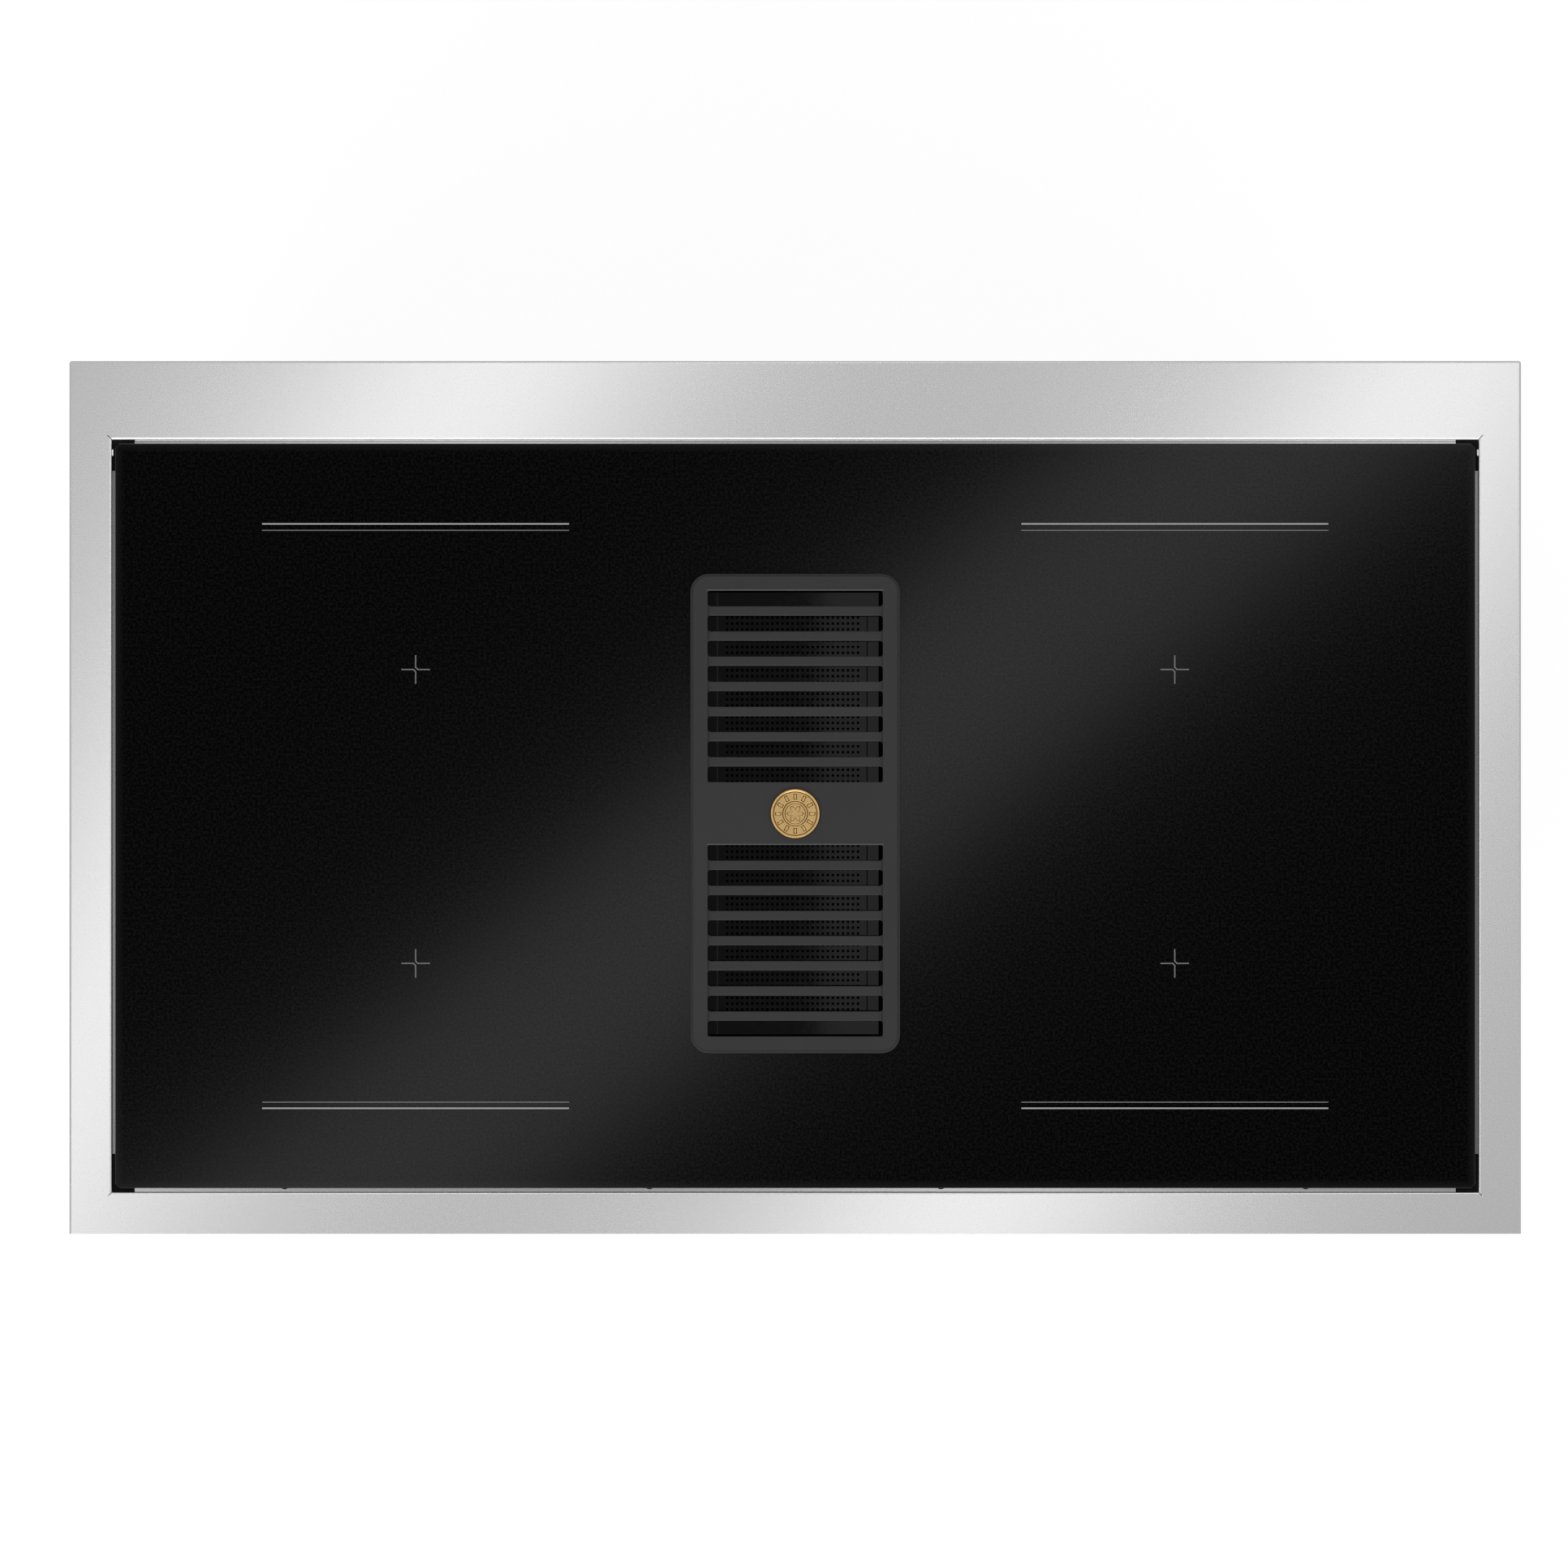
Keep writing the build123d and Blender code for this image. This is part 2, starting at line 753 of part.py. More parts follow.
# Cooling fans: a hub and disc with straight blades, on the tray's spindles
for fan_name, side in (("cooling_fan_left", -1), ("cooling_fan_right", 1)):
    with BuildPart() as cooling_fan:
        fan_bottom = tray_floor + fan_lift
        rod_z(side * fan_x, fan_y, fan_bottom, fan_bottom + fan_blade, fan_diameter)
        rod_z(side * fan_x, fan_y, fan_bottom, fan_bottom + fan_height, fan_hub)
        with Locations((side * fan_x, fan_y, fan_bottom + fan_height / 2)):
            with PolarLocations((fan_diameter + fan_hub) / 4, fan_blade_count):
                Box((fan_diameter - fan_hub) / 2 + fan_blade, fan_blade, fan_height)
        with BuildSketch(Plane.XY.offset(fan_bottom)):
            with Locations((side * fan_x, fan_y)):
                Circle(fan_diameter / 2)
        extrude(amount=fan_height, mode=Mode.INTERSECT)
        rod_z(
            side * fan_x,
            fan_y,
            fan_bottom - over,
            fan_bottom + fan_height + over,
            fan_spindle + 2 * shaft_clearance,
            mode=Mode.SUBTRACT,
        )
    cooling_fan.part.label = fan_name
    export_step(cooling_fan.part, f"parts/{fan_name}.step")

# Intake grille
slot_width = (window_length - bar_count * bar_width) / (bar_count + 1)
slot_pitch = slot_width + bar_width
window_offset = (grille_bridge + window_length) / 2
window_places = [(0, grille_y + window_offset), (0, grille_y - window_offset)]
with BuildPart() as intake_grille:
    with BuildSketch(Plane.XY.offset(worktop_height)):
        with Locations((0, grille_y)):
            RectangleRounded(grille_width, grille_length, grille_corner)
    extrude(amount=grille_height)
    fillet(intake_grille.edges().group_by(Axis.Z)[-1], radius=grille_edge)
    with BuildSketch(Plane.XY.offset(worktop_height)):
        with Locations((0, grille_y)):
            RectangleRounded(
                cutout_width - 2 * locating_clearance,
                cutout_length - 2 * locating_clearance,
                cutout_corner - locating_clearance,
            )
            RectangleRounded(
                cutout_width - 2 * locating_clearance - 2 * locating_rim_wall,
                cutout_length - 2 * locating_clearance - 2 * locating_rim_wall,
                cutout_corner - locating_clearance - locating_rim_wall,
                mode=Mode.SUBTRACT,
            )
    extrude(amount=-locating_rim_depth)
    with BuildSketch(Plane.XY.offset(worktop_height)):
        with Locations(*window_places):
            Rectangle(window_width, window_length)
    extrude(amount=grille_height, mode=Mode.SUBTRACT)
    # Bars with rounded tops, set a little below the frame's top
    for window_x, window_y in window_places:
        with BuildSketch(Plane.YZ) as bar_profile:
            with Locations((window_y, bar_top - bar_height / 2)):
                with GridLocations(slot_pitch, 0, bar_count, 1):
                    Rectangle(bar_width, bar_height)
            fillet(bar_profile.vertices().group_by(Axis.Y)[-1], radius=bar_edge)
        extrude(amount=window_width / 2, both=True)
        # Rounded corners at both ends of every slot
        with BuildSketch(Plane.XY.offset(bar_bottom)):
            with Locations((window_x, window_y)):
                with GridLocations(0, slot_pitch, 1, bar_count + 1):
                    Rectangle(window_width, slot_width)
                    RectangleRounded(window_width, slot_width, window_corner, mode=Mode.SUBTRACT)
        extrude(amount=bar_height - bar_edge)
    # Seat of the medallion
    rod_z(
        0,
        grille_y,
        grille_top - badge_seat_depth,
        grille_top + over,
        badge_diameter + 2 * badge_clearance,
        mode=Mode.SUBTRACT,
    )
intake_grille.part.label = "intake_grille"
export_step(intake_grille.part, "parts/intake_grille.step")

# Medallion: a plain turned disc with a raised rim and two rings
with BuildPart() as grille_badge:
    badge_radius = badge_diameter / 2
    badge_base = grille_top - badge_seat_depth
    badge_top = badge_base + badge_height
    field = badge_top - badge_field_drop
    ring_top = field + badge_ring_height
    with BuildSketch(Plane.XZ.offset(-grille_y)):
        with BuildLine():
            Polyline(
                (0, badge_base),
                (badge_radius, badge_base),
                (badge_radius, badge_top - badge_rim_slope),
                (badge_radius - badge_rim_slope, badge_top),
                (badge_radius - badge_rim + badge_rim_slope, badge_top),
                (badge_radius - badge_rim, field),
                (badge_ring_outer / 2, field),
                (badge_ring_outer / 2 - badge_ring_slope, ring_top),
                (badge_ring_inner / 2 + badge_ring_slope, ring_top),
                (badge_ring_inner / 2, field),
                (0, field + badge_dome),
                close=True,
            )
        make_face()
    revolve(axis=Axis((0, grille_y, 0), (0, 0, 1)))
grille_badge.part.label = "grille_badge"
export_step(grille_badge.part, "parts/grille_badge.step")

# Grease filter: a tray whose floor is the perforated plate, welded in on an inward lip
with BuildPart() as grease_filter:
    with BuildSketch(Plane.XY.offset(filter_bottom)):
        with Locations((filter_x, grille_y)):
            Rectangle(filter_width, filter_length)
    extrude(amount=filter_height)
    with BuildSketch(Plane.XY.offset(plate_top)):
        with Locations((filter_x, grille_y)):
            Rectangle(filter_width - 2 * filter_wall, filter_length - 2 * filter_wall)
    extrude(amount=plate_drop, mode=Mode.SUBTRACT)
    with BuildSketch(Plane.XY.offset(filter_bottom)):
        with Locations((filter_x, grille_y)):
            Rectangle(
                filter_width - 2 * filter_wall - 2 * filter_lip,
                filter_length - 2 * filter_wall - 2 * filter_lip,
            )
    extrude(amount=filter_height - plate_drop - plate_thickness, mode=Mode.SUBTRACT)
grease_filter.part.label = "grease_filter"
export_step(grease_filter.part, "parts/grease_filter.step")

# Intake well: hangs under the glass and stands on the tray's floor
with BuildPart() as intake_well:
    with BuildSketch(Plane.XY.offset(glass_bottom)):
        with Locations((0, grille_y)):
            Rectangle(
                well_width + 2 * well_wall + 2 * well_flange,
                well_length + 2 * well_wall + 2 * well_flange,
            )
    extrude(amount=-well_wall)
    with BuildSketch(Plane.XY.offset(glass_bottom)):
        with Locations((0, grille_y)):
            Rectangle(well_width + 2 * well_wall, well_length + 2 * well_wall)
    extrude(amount=tray_floor - glass_bottom)
    with BuildSketch(Plane.XY.offset(well_floor)):
        with Locations((0, grille_y)):
            Rectangle(well_width, well_length)
    extrude(amount=glass_bottom - well_floor, mode=Mode.SUBTRACT)
    # Shelves for the filter tray along both sides
    for side in (-1, 1):
        shelf_edges = sorted((side * well_width / 2, side * (filter_width / 2 - well_shelf)))
        block(
            shelf_edges[0],
            shelf_edges[1],
            grille_y - well_length / 2,
            grille_y + well_length / 2,
            filter_bottom - well_wall,
            filter_bottom,
        )
    block(
        -duct_width / 2,
        duct_width / 2,
        well_rear - over,
        well_rear + well_wall + over,
        duct_bottom,
        duct_top,
        mode=Mode.SUBTRACT,
    )
    rod_z(0, grille_y, tray_floor - over, well_floor + over, cup_bore, mode=Mode.SUBTRACT)
intake_well.part.label = "intake_well"
export_step(intake_well.part, "parts/intake_well.step")

# Spill cup, hung in the well's floor
with BuildPart() as spill_cup:
    cup_outer = cup_bore - 2 * cup_clearance
    rod_z(0, grille_y, well_floor, well_floor + cup_wall, cup_bore + 2 * cup_flange)
    rod_z(0, grille_y, well_floor - cup_depth, well_floor + cup_wall, cup_outer)
    rod_z(
        0,
        grille_y,
        well_floor - cup_depth + cup_wall,
        well_floor + 2 * cup_wall,
        cup_outer - 2 * cup_wall,
        mode=Mode.SUBTRACT,
    )
spill_cup.part.label = "spill_cup"
export_step(spill_cup.part, "parts/spill_cup.step")

# Air duct: back from the well, down behind the ovens, and forward over the blower
with BuildPart() as rear_duct:
    duct_start = well_rear + well_wall
    plenum_half = drop_width / 2
    for shell in (0, duct_wall):
        shell_mode = Mode.SUBTRACT if shell else Mode.ADD
        grow = duct_wall - shell
        reach = over if shell else 0
        block(
            -duct_width / 2 - grow,
            duct_width / 2 + grow,
            duct_start - reach,
            drop_rear - shell,
            duct_bottom - grow,
            duct_top + grow,
            mode=shell_mode,
        )
        block(
            -plenum_half + shell,
            plenum_half - shell,
            drop_front + shell,
            drop_rear - shell,
            blower_top + shell,
            duct_top + grow,
            mode=shell_mode,
        )
        block(
            -plenum_half + shell,
            plenum_half - shell,
            plenum_front + shell,
            drop_rear - shell,
            blower_top + shell,
            plenum_top - shell,
            mode=shell_mode,
        )
    rod_z(0, blower_y, blower_top - over, blower_top + duct_wall + over, blower_inlet, mode=Mode.SUBTRACT)
rear_duct.part.label = "rear_duct"
export_step(rear_duct.part, "parts/rear_duct.step")

# Blower housing: a flat drum that opens into a wide mouth towards the front
with BuildPart() as blower_housing:
    for shell in (0, blower_wall):
        shell_mode = Mode.SUBTRACT if shell else Mode.ADD
        with BuildSketch(Plane.XY.offset(blower_bottom + shell)):
            with Locations((0, blower_y)):
                Circle(blower_radius - shell)
            with BuildLine():
                Polyline(
                    (-blower_radius + shell, blower_y),
                    (-blower_mouth_width / 2 + shell, blower_mouth_y - shell),
                    (blower_mouth_width / 2 - shell, blower_mouth_y - shell),
                    (blower_radius - shell, blower_y),
                    close=True,
                )
            make_face()
        extrude(amount=blower_height - 2 * shell, mode=shell_mode)
    rod_z(0, blower_y, blower_top - 2 * blower_wall, blower_top + over, blower_inlet, mode=Mode.SUBTRACT)
    for foot_x in (-blower_radius / 2, blower_radius / 2):
        for foot_y in (blower_mouth_y + blower_foot_inset, blower_y + blower_radius / 2):
            rod_z(foot_x, foot_y, base_top, blower_bottom, blower_foot_diameter)
blower_housing.part.label = "blower_housing"
export_step(blower_housing.part, "parts/blower_housing.step")

# Blower motor, with its shaft up through the impeller
motor_base = blower_bottom + blower_wall
motor_top = motor_base + blower_motor_height
impeller_bottom = motor_top + 2 * seat_gap
impeller_top = impeller_bottom + impeller_disc + impeller_blade_height
with BuildPart() as blower_motor:
    rod_z(0, blower_y, motor_base, motor_top, blower_motor_diameter)
    fillet(blower_motor.edges().group_by(Axis.Z)[-1], radius=blower_motor_edge)
    rod_z(0, blower_y, motor_top, impeller_top, blower_shaft)
blower_motor.part.label = "blower_motor"
export_step(blower_motor.part, "parts/blower_motor.step")

with BuildPart() as blower_impeller:
    rod_z(0, blower_y, impeller_bottom, impeller_bottom + impeller_disc, impeller_diameter)
    rod_z(0, blower_y, impeller_bottom, impeller_top - impeller_disc, impeller_hub)
    with Locations((0, blower_y, (impeller_bottom + impeller_disc + impeller_top) / 2)):
        with PolarLocations((impeller_diameter + impeller_inner) / 4, impeller_blade_count):
            blade_length = (impeller_diameter - impeller_inner) / 2 - impeller_blade
            Box(blade_length, impeller_blade, impeller_blade_height)
    with BuildSketch(Plane.XY.offset(impeller_top - impeller_disc)):
        with Locations((0, blower_y)):
            Circle(impeller_diameter / 2)
            Circle(impeller_inner / 2, mode=Mode.SUBTRACT)
    extrude(amount=impeller_disc)
    rod_z(
        0,
        blower_y,
        impeller_bottom - over,
        impeller_top + over,
        blower_shaft + 2 * shaft_clearance,
        mode=Mode.SUBTRACT,
    )
blower_impeller.part.label = "blower_impeller"
export_step(blower_impeller.part, "parts/blower_impeller.step")

# Charcoal filter in front of the blower's mouth
with BuildPart() as charcoal_filter:
    charcoal_half = blower_mouth_width / 2
    block(-charcoal_half, charcoal_half, charcoal_front, charcoal_rear, base_top, blower_top)
    cell_pitch = charcoal_cell + charcoal_wall
    cell_columns = int((2 * charcoal_half - charcoal_wall) / cell_pitch)
    cell_rows = int((blower_top - base_top - charcoal_wall) / cell_pitch)
    with BuildSketch(Plane.XZ.offset(-charcoal_rear)):
        with Locations((0, (base_top + blower_top) / 2)):
            with GridLocations(cell_pitch, cell_pitch, cell_columns, cell_rows):
                Rectangle(charcoal_cell, charcoal_cell)
    extrude(amount=charcoal_length, mode=Mode.SUBTRACT)
charcoal_filter.part.label = "charcoal_filter"
export_step(charcoal_filter.part, "parts/charcoal_filter.step")

# Base: a plate with an upturned rim, and a welded leg tube near each corner
leg_places = {
    "foot_front_left": (-leg_x, leg_front_y),
    "foot_front_right": (leg_x, leg_front_y),
    "foot_rear_left": (-leg_x, leg_rear_y),
    "foot_rear_right": (leg_x, leg_rear_y),
}
with BuildPart() as base_frame:
    rim_rear = back_face - cabinet_sheet
    block(-cabinet_inside, cabinet_inside, rim_front, rim_rear, cabinet_bottom, base_top + base_rim)
    block(
        -cabinet_inside + base_sheet,
        cabinet_inside - base_sheet,
        rim_front + base_sheet,
        rim_rear - base_sheet,
        base_top,
        base_top + base_rim + over,
        mode=Mode.SUBTRACT,
    )
    with BuildSketch(Plane.XY.offset(cabinet_bottom)):
        with Locations(*leg_places.values()):
            Circle(leg_diameter / 2)
            Circle(leg_diameter / 2 - leg_wall, mode=Mode.SUBTRACT)
    extrude(amount=-leg_length)
base_frame.part.label = "base_frame"
export_step(base_frame.part, "parts/base_frame.step")

# Feet: a pad on a stem that telescopes in the leg
stem_diameter = leg_diameter - 2 * leg_wall - 2 * slide_clearance
for foot_name, (foot_x, foot_y) in leg_places.items():
    with BuildPart() as foot:
        rod_z(foot_x, foot_y, 0, foot_pad_height, foot_pad)
        fillet(foot.edges(), radius=foot_edge)
        rod_z(foot_x, foot_y, foot_pad_height, cabinet_bottom, stem_diameter)
    foot.part.label = foot_name
    export_step(foot.part, f"parts/{foot_name}.step")

# Side panels, with a return at the rear and one under the worktop
for panel_name, side in (("side_panel_left", -1), ("side_panel_right", 1)):
    with BuildPart() as side_panel:
        outer = side * cabinet_half
        inner = side * (cabinet_half - cabinet_sheet)
        rear_inner = side * (cabinet_half - rear_return)
        top_inner = side * (cabinet_half - top_return)
        block(
            min(outer, inner),
            max(outer, inner),
            cabinet_front,
            back_face,
            cabinet_bottom,
            worktop_underside,
        )
        block(
            min(outer, rear_inner),
            max(outer, rear_inner),
            back_face - cabinet_sheet,
            back_face,
            cabinet_bottom,
            worktop_underside,
        )
        block(
            min(outer, top_inner),
            max(outer, top_inner),
            cabinet_front,
            back_face,
            worktop_underside - cabinet_sheet,
            worktop_underside,
        )
        corner = side_panel.edges().filter_by(Axis.Z).filter_by(
            lambda e: abs(abs(e.center().X) - cabinet_half) < near and abs(e.center().Y - back_face) < near
        )
        fillet(corner, radius=cabinet_sheet - panel_fit)
        for screw_z in screw_places:
            rod_y(
                side * screw_x,
                back_face - 2 * cabinet_sheet,
                back_face + over,
                screw_z,
                screw_hole,
                mode=Mode.SUBTRACT,
            )
    side_panel.part.label = panel_name
    export_step(side_panel.part, f"parts/{panel_name}.step")

# Back panel with two fields of slots, and the hole behind the mains terminals
with BuildPart() as back_panel:
    panel_half = cabinet_half - panel_fit
    block(-panel_half, panel_half, back_face, cabinet_rear, cabinet_bottom, worktop_underside)
    for slot_x in (-back_slot_x, back_slot_x):
        with Locations(Location((slot_x, back_face, back_slot_z), (90, 0, 0))):
            with GridLocations(0, vent_row_pitch, 1, vent_row_count):
                Box(back_slot_length, back_slot_height, 4 * cabinet_sheet, mode=Mode.SUBTRACT)
    for side in (-1, 1):
        for screw_z in screw_places:
            rod_y(
                side * screw_x,
                back_face - over,
                cabinet_rear + over,
                screw_z,
                screw_hole,
                mode=Mode.SUBTRACT,
            )
back_panel.part.label = "back_panel"
export_step(back_panel.part, "parts/back_panel.step")

# Screws of the back panel
with BuildPart() as cabinet_screws:
    for side in (-1, 1):
        for screw_z in screw_places:
            rod_y(side * screw_x, cabinet_rear, cabinet_rear + screw_head_height, screw_z, screw_head)
            rod_y(side * screw_x, cabinet_rear - screw_length, cabinet_rear, screw_z, screw_shank)
cabinet_screws.part.label = "cabinet_screws"
export_step(cabinet_screws.part, "parts/cabinet_screws.step")

# Cover of the mains terminals, with an open gland in its lower wall
with BuildPart() as terminal_cover:
    block(
        terminal_x - terminal_width / 2,
        terminal_x + terminal_width / 2,
        cabinet_rear,
        cabinet_rear + terminal_depth,
        terminal_z - terminal_height / 2,
        terminal_z + terminal_height / 2,
    )
    fillet(terminal_cover.edges().group_by(Axis.Y)[-1], radius=terminal_edge)
    block(
        terminal_x - terminal_width / 2 + terminal_wall,
        terminal_x + terminal_width / 2 - terminal_wall,
        cabinet_rear - over,
        cabinet_rear + terminal_depth - terminal_wall,
        terminal_z - terminal_height / 2 + terminal_wall,
        terminal_z + terminal_height / 2 - terminal_wall,
        mode=Mode.SUBTRACT,
    )
    gland_y = cabinet_rear + terminal_depth / 2
    gland_top = terminal_z - terminal_height / 2
    rod_z(terminal_x, gland_y, gland_top - gland_length, gland_top, gland_diameter)
    rod_z(
        terminal_x,
        gland_y,
        gland_top - gland_length - over,
        gland_top + terminal_wall + over,
        gland_bore,
        mode=Mode.SUBTRACT,
    )
terminal_cover.part.label = "terminal_cover"
export_step(terminal_cover.part, "parts/terminal_cover.step")

# Fascia: front sheet with a return at the bottom and at both ends, cut for the controls
fascia_back = fascia_front + front_sheet
knob_places = [side * (knob_first_x + step * knob_pitch) for side in (-1, 1) for step in range(4)]
with BuildPart() as fascia_panel:
    block(-cabinet_half, cabinet_half, fascia_front, cabinet_front, fascia_bottom, tray_top)
    lower_edge = fascia_panel.edges().filter_by(Axis.X).filter_by(
        lambda e: abs(e.center().Y - fascia_front) < near and abs(e.center().Z - fascia_bottom) < near
    )
    fillet(lower_edge, radius=front_edge_bend)
    block(
        -cabinet_half + front_sheet,
        cabinet_half - front_sheet,
        fascia_back,
        cabinet_front + over,
        fascia_bottom + front_sheet,
        tray_top + over,
        mode=Mode.SUBTRACT,
    )
    for knob_x in knob_places:
        rod_y(
            knob_x,
            fascia_front - over,
            fascia_back + over,
            knob_row_height,
            shaft_hole,
            mode=Mode.SUBTRACT,
        )
    with BuildSketch(Plane.XZ.offset(-fascia_back - over)):
        with Locations((0, knob_row_height)):
            RectangleRounded(
                display_width - 2 * display_body_inset,
                display_height - 2 * display_body_inset,
                display_corner - display_stand,
            )
        with Locations((button_x, knob_row_height)):
            Circle(button_diameter / 2 + slide_clearance)
    extrude(amount=front_sheet + 2 * over, mode=Mode.SUBTRACT)
fascia_panel.part.label = "fascia_panel"
export_step(fascia_panel.part, "parts/fascia_panel.step")

# Switches behind the fascia, each with its shaft through a hole
knob_back = fascia_front - knob_gap
shaft_end = knob_back - shaft_engagement
with BuildPart() as control_switches:
    for knob_x in knob_places:
        block(
            knob_x - switch_size / 2,
            knob_x + switch_size / 2,
            fascia_back,
            fascia_back + switch_depth,
            knob_row_height - switch_size / 2,
            knob_row_height + switch_size / 2,
        )
        rod_y(knob_x, shaft_end, fascia_back, knob_row_height, shaft_diameter)
control_switches.part.label = "control_switches"
export_step(control_switches.part, "parts/control_switches.step")

# Knobs: a skirt, a grooved grip with a slight taper, and a pointer line
knob_names = [
    "knob_zone_1",
    "knob_zone_2",
    "knob_zone_3",
    "knob_zone_4",
    "knob_extractor",
    "knob_main_function",
    "knob_main_heat",
    "knob_side_heat",
]
grip_taper = degrees(atan(knob_taper / knob_length))
for knob_name, knob_x in zip(knob_names, sorted(knob_places)):
    knob_plane = Plane((knob_x, knob_back, knob_row_height), x_dir=(1, 0, 0), z_dir=(0, -1, 0))
    with BuildPart() as knob:
        with BuildSketch(knob_plane):
            Circle(knob_diameter / 2)
        extrude(amount=knob_length, taper=grip_taper)
        fillet(knob.edges().group_by(Axis.Y)[0], radius=knob_edge)
        with BuildSketch(knob_plane.offset(knob_skirt_height + knob_edge)):
            with PolarLocations(knob_diameter / 2, knob_grooves):
                Circle(knob_groove_depth)
        extrude(amount=knob_length, mode=Mode.SUBTRACT)
        with BuildSketch(knob_plane):
            Circle(knob_skirt / 2)
        extrude(amount=knob_skirt_height)
        skirt_circles = knob.edges().filter_by(GeomType.CIRCLE).filter_by(
            lambda e: abs(e.radius - knob_skirt / 2) < near
        )
        fillet(skirt_circles.sort_by(Axis.Y)[0], radius=knob_skirt_edge)
        # Pointer line on the front, from near the middle up to the rim
        with BuildSketch(knob_plane.offset(knob_length - knob_pointer_depth)):
            with Locations((0, (knob_pointer_start + knob_diameter / 2 + over) / 2)):
                Rectangle(knob_pointer_width, knob_diameter / 2 + over - knob_pointer_start)
        extrude(amount=knob_length, mode=Mode.SUBTRACT)
        with BuildSketch(knob_plane):
            Circle(shaft_diameter / 2 + shaft_clearance)
        extrude(amount=shaft_engagement + seat_gap, mode=Mode.SUBTRACT)
    knob.part.label = knob_name
    export_step(knob.part, f"parts/{knob_name}.step")

# Clock display: a dark window in a frame that stands a little proud, and its body behind
with BuildPart() as clock_display:
    with BuildSketch(Plane.XZ.offset(-fascia_front)):
        with Locations((0, knob_row_height)):
            RectangleRounded(display_width, display_height, display_corner)
    extrude(amount=display_stand)
    fillet(clock_display.edges().group_by(Axis.Y)[0], radius=display_edge)
    with BuildSketch(Plane.XZ.offset(-fascia_front)):
        with Locations((0, knob_row_height)):
            Rectangle(
                display_width - 2 * display_body_inset - 2 * seat_gap,
                display_height - 2 * display_body_inset - 2 * seat_gap,
            )
    extrude(amount=-display_body_depth)
    body_edges = clock_display.edges().filter_by(Axis.Y).filter_by(
        lambda e: e.length > display_body_depth / 2
    )
    fillet(body_edges, radius=display_corner - display_stand)
clock_display.part.label = "clock_display"
export_step(clock_display.part, "parts/clock_display.step")

# Clock button: a cap on a stem, pressed against the display's board
with BuildPart() as clock_button:
    button_front = fascia_front - button_stand
    rod_y(button_x, button_front, fascia_back + button_travel, knob_row_height, button_diameter)
    fillet(clock_button.edges().group_by(Axis.Y)[0], radius=button_edge)
    rod_y(
        button_x,
        fascia_back,
        fascia_back + button_stem_length,
        knob_row_height,
        button_stem,
    )
clock_button.part.label = "clock_button"
export_step(clock_button.part, "parts/clock_button.step")

# Vent panel under the doors: a folded front with rows of slots
with BuildPart() as vent_panel:
    block(-cabinet_half, cabinet_half, door_front, cabinet_front, vent_bottom, vent_top)
    front_edges = vent_panel.edges().filter_by(Axis.X).filter_by(
        lambda e: abs(e.center().Y - door_front) < near
    )
    fillet(front_edges, radius=front_edge_bend)
    block(
        -cabinet_half + front_sheet,
        cabinet_half - front_sheet,
        door_front + front_sheet,
        cabinet_front + over,
        vent_bottom + front_sheet,
        vent_top - front_sheet,
        mode=Mode.SUBTRACT,
    )
    with BuildSketch(Plane.XZ.offset(-door_front)):
        with Locations((0, (vent_top + vent_bottom) / 2)):
            with GridLocations(vent_slot_pitch, vent_slot_rise, vent_slot_columns, vent_slot_rows):
                SlotOverall(vent_slot_length, vent_slot_height)
    extrude(amount=-2 * front_sheet, mode=Mode.SUBTRACT)
vent_panel.part.label = "vent_panel"
export_step(vent_panel.part, "parts/vent_panel.step")

# Ovens: where each begins and ends, how wide its cavity is, and where its middle lies
ovens = {}
for oven_name, oven_left, oven_right, cavity_width in (
    ("main", -cabinet_inside, oven_split - flange_gap, main_cavity_width),
    ("side", oven_split + flange_gap, cabinet_inside, side_cavity_width),
):
    ovens[oven_name] = (oven_left, oven_right, (oven_left + oven_right) / 2, cavity_width)

lamp_z = cavity_roof - lamp_below_roof
grill_z = cavity_roof - grill_below_roof
ring_y = cavity_rear_inside - cover_depth / 2
flange_bottom = vent_top + 2 * seat_gap
flange_top = fascia_bottom - seat_gap

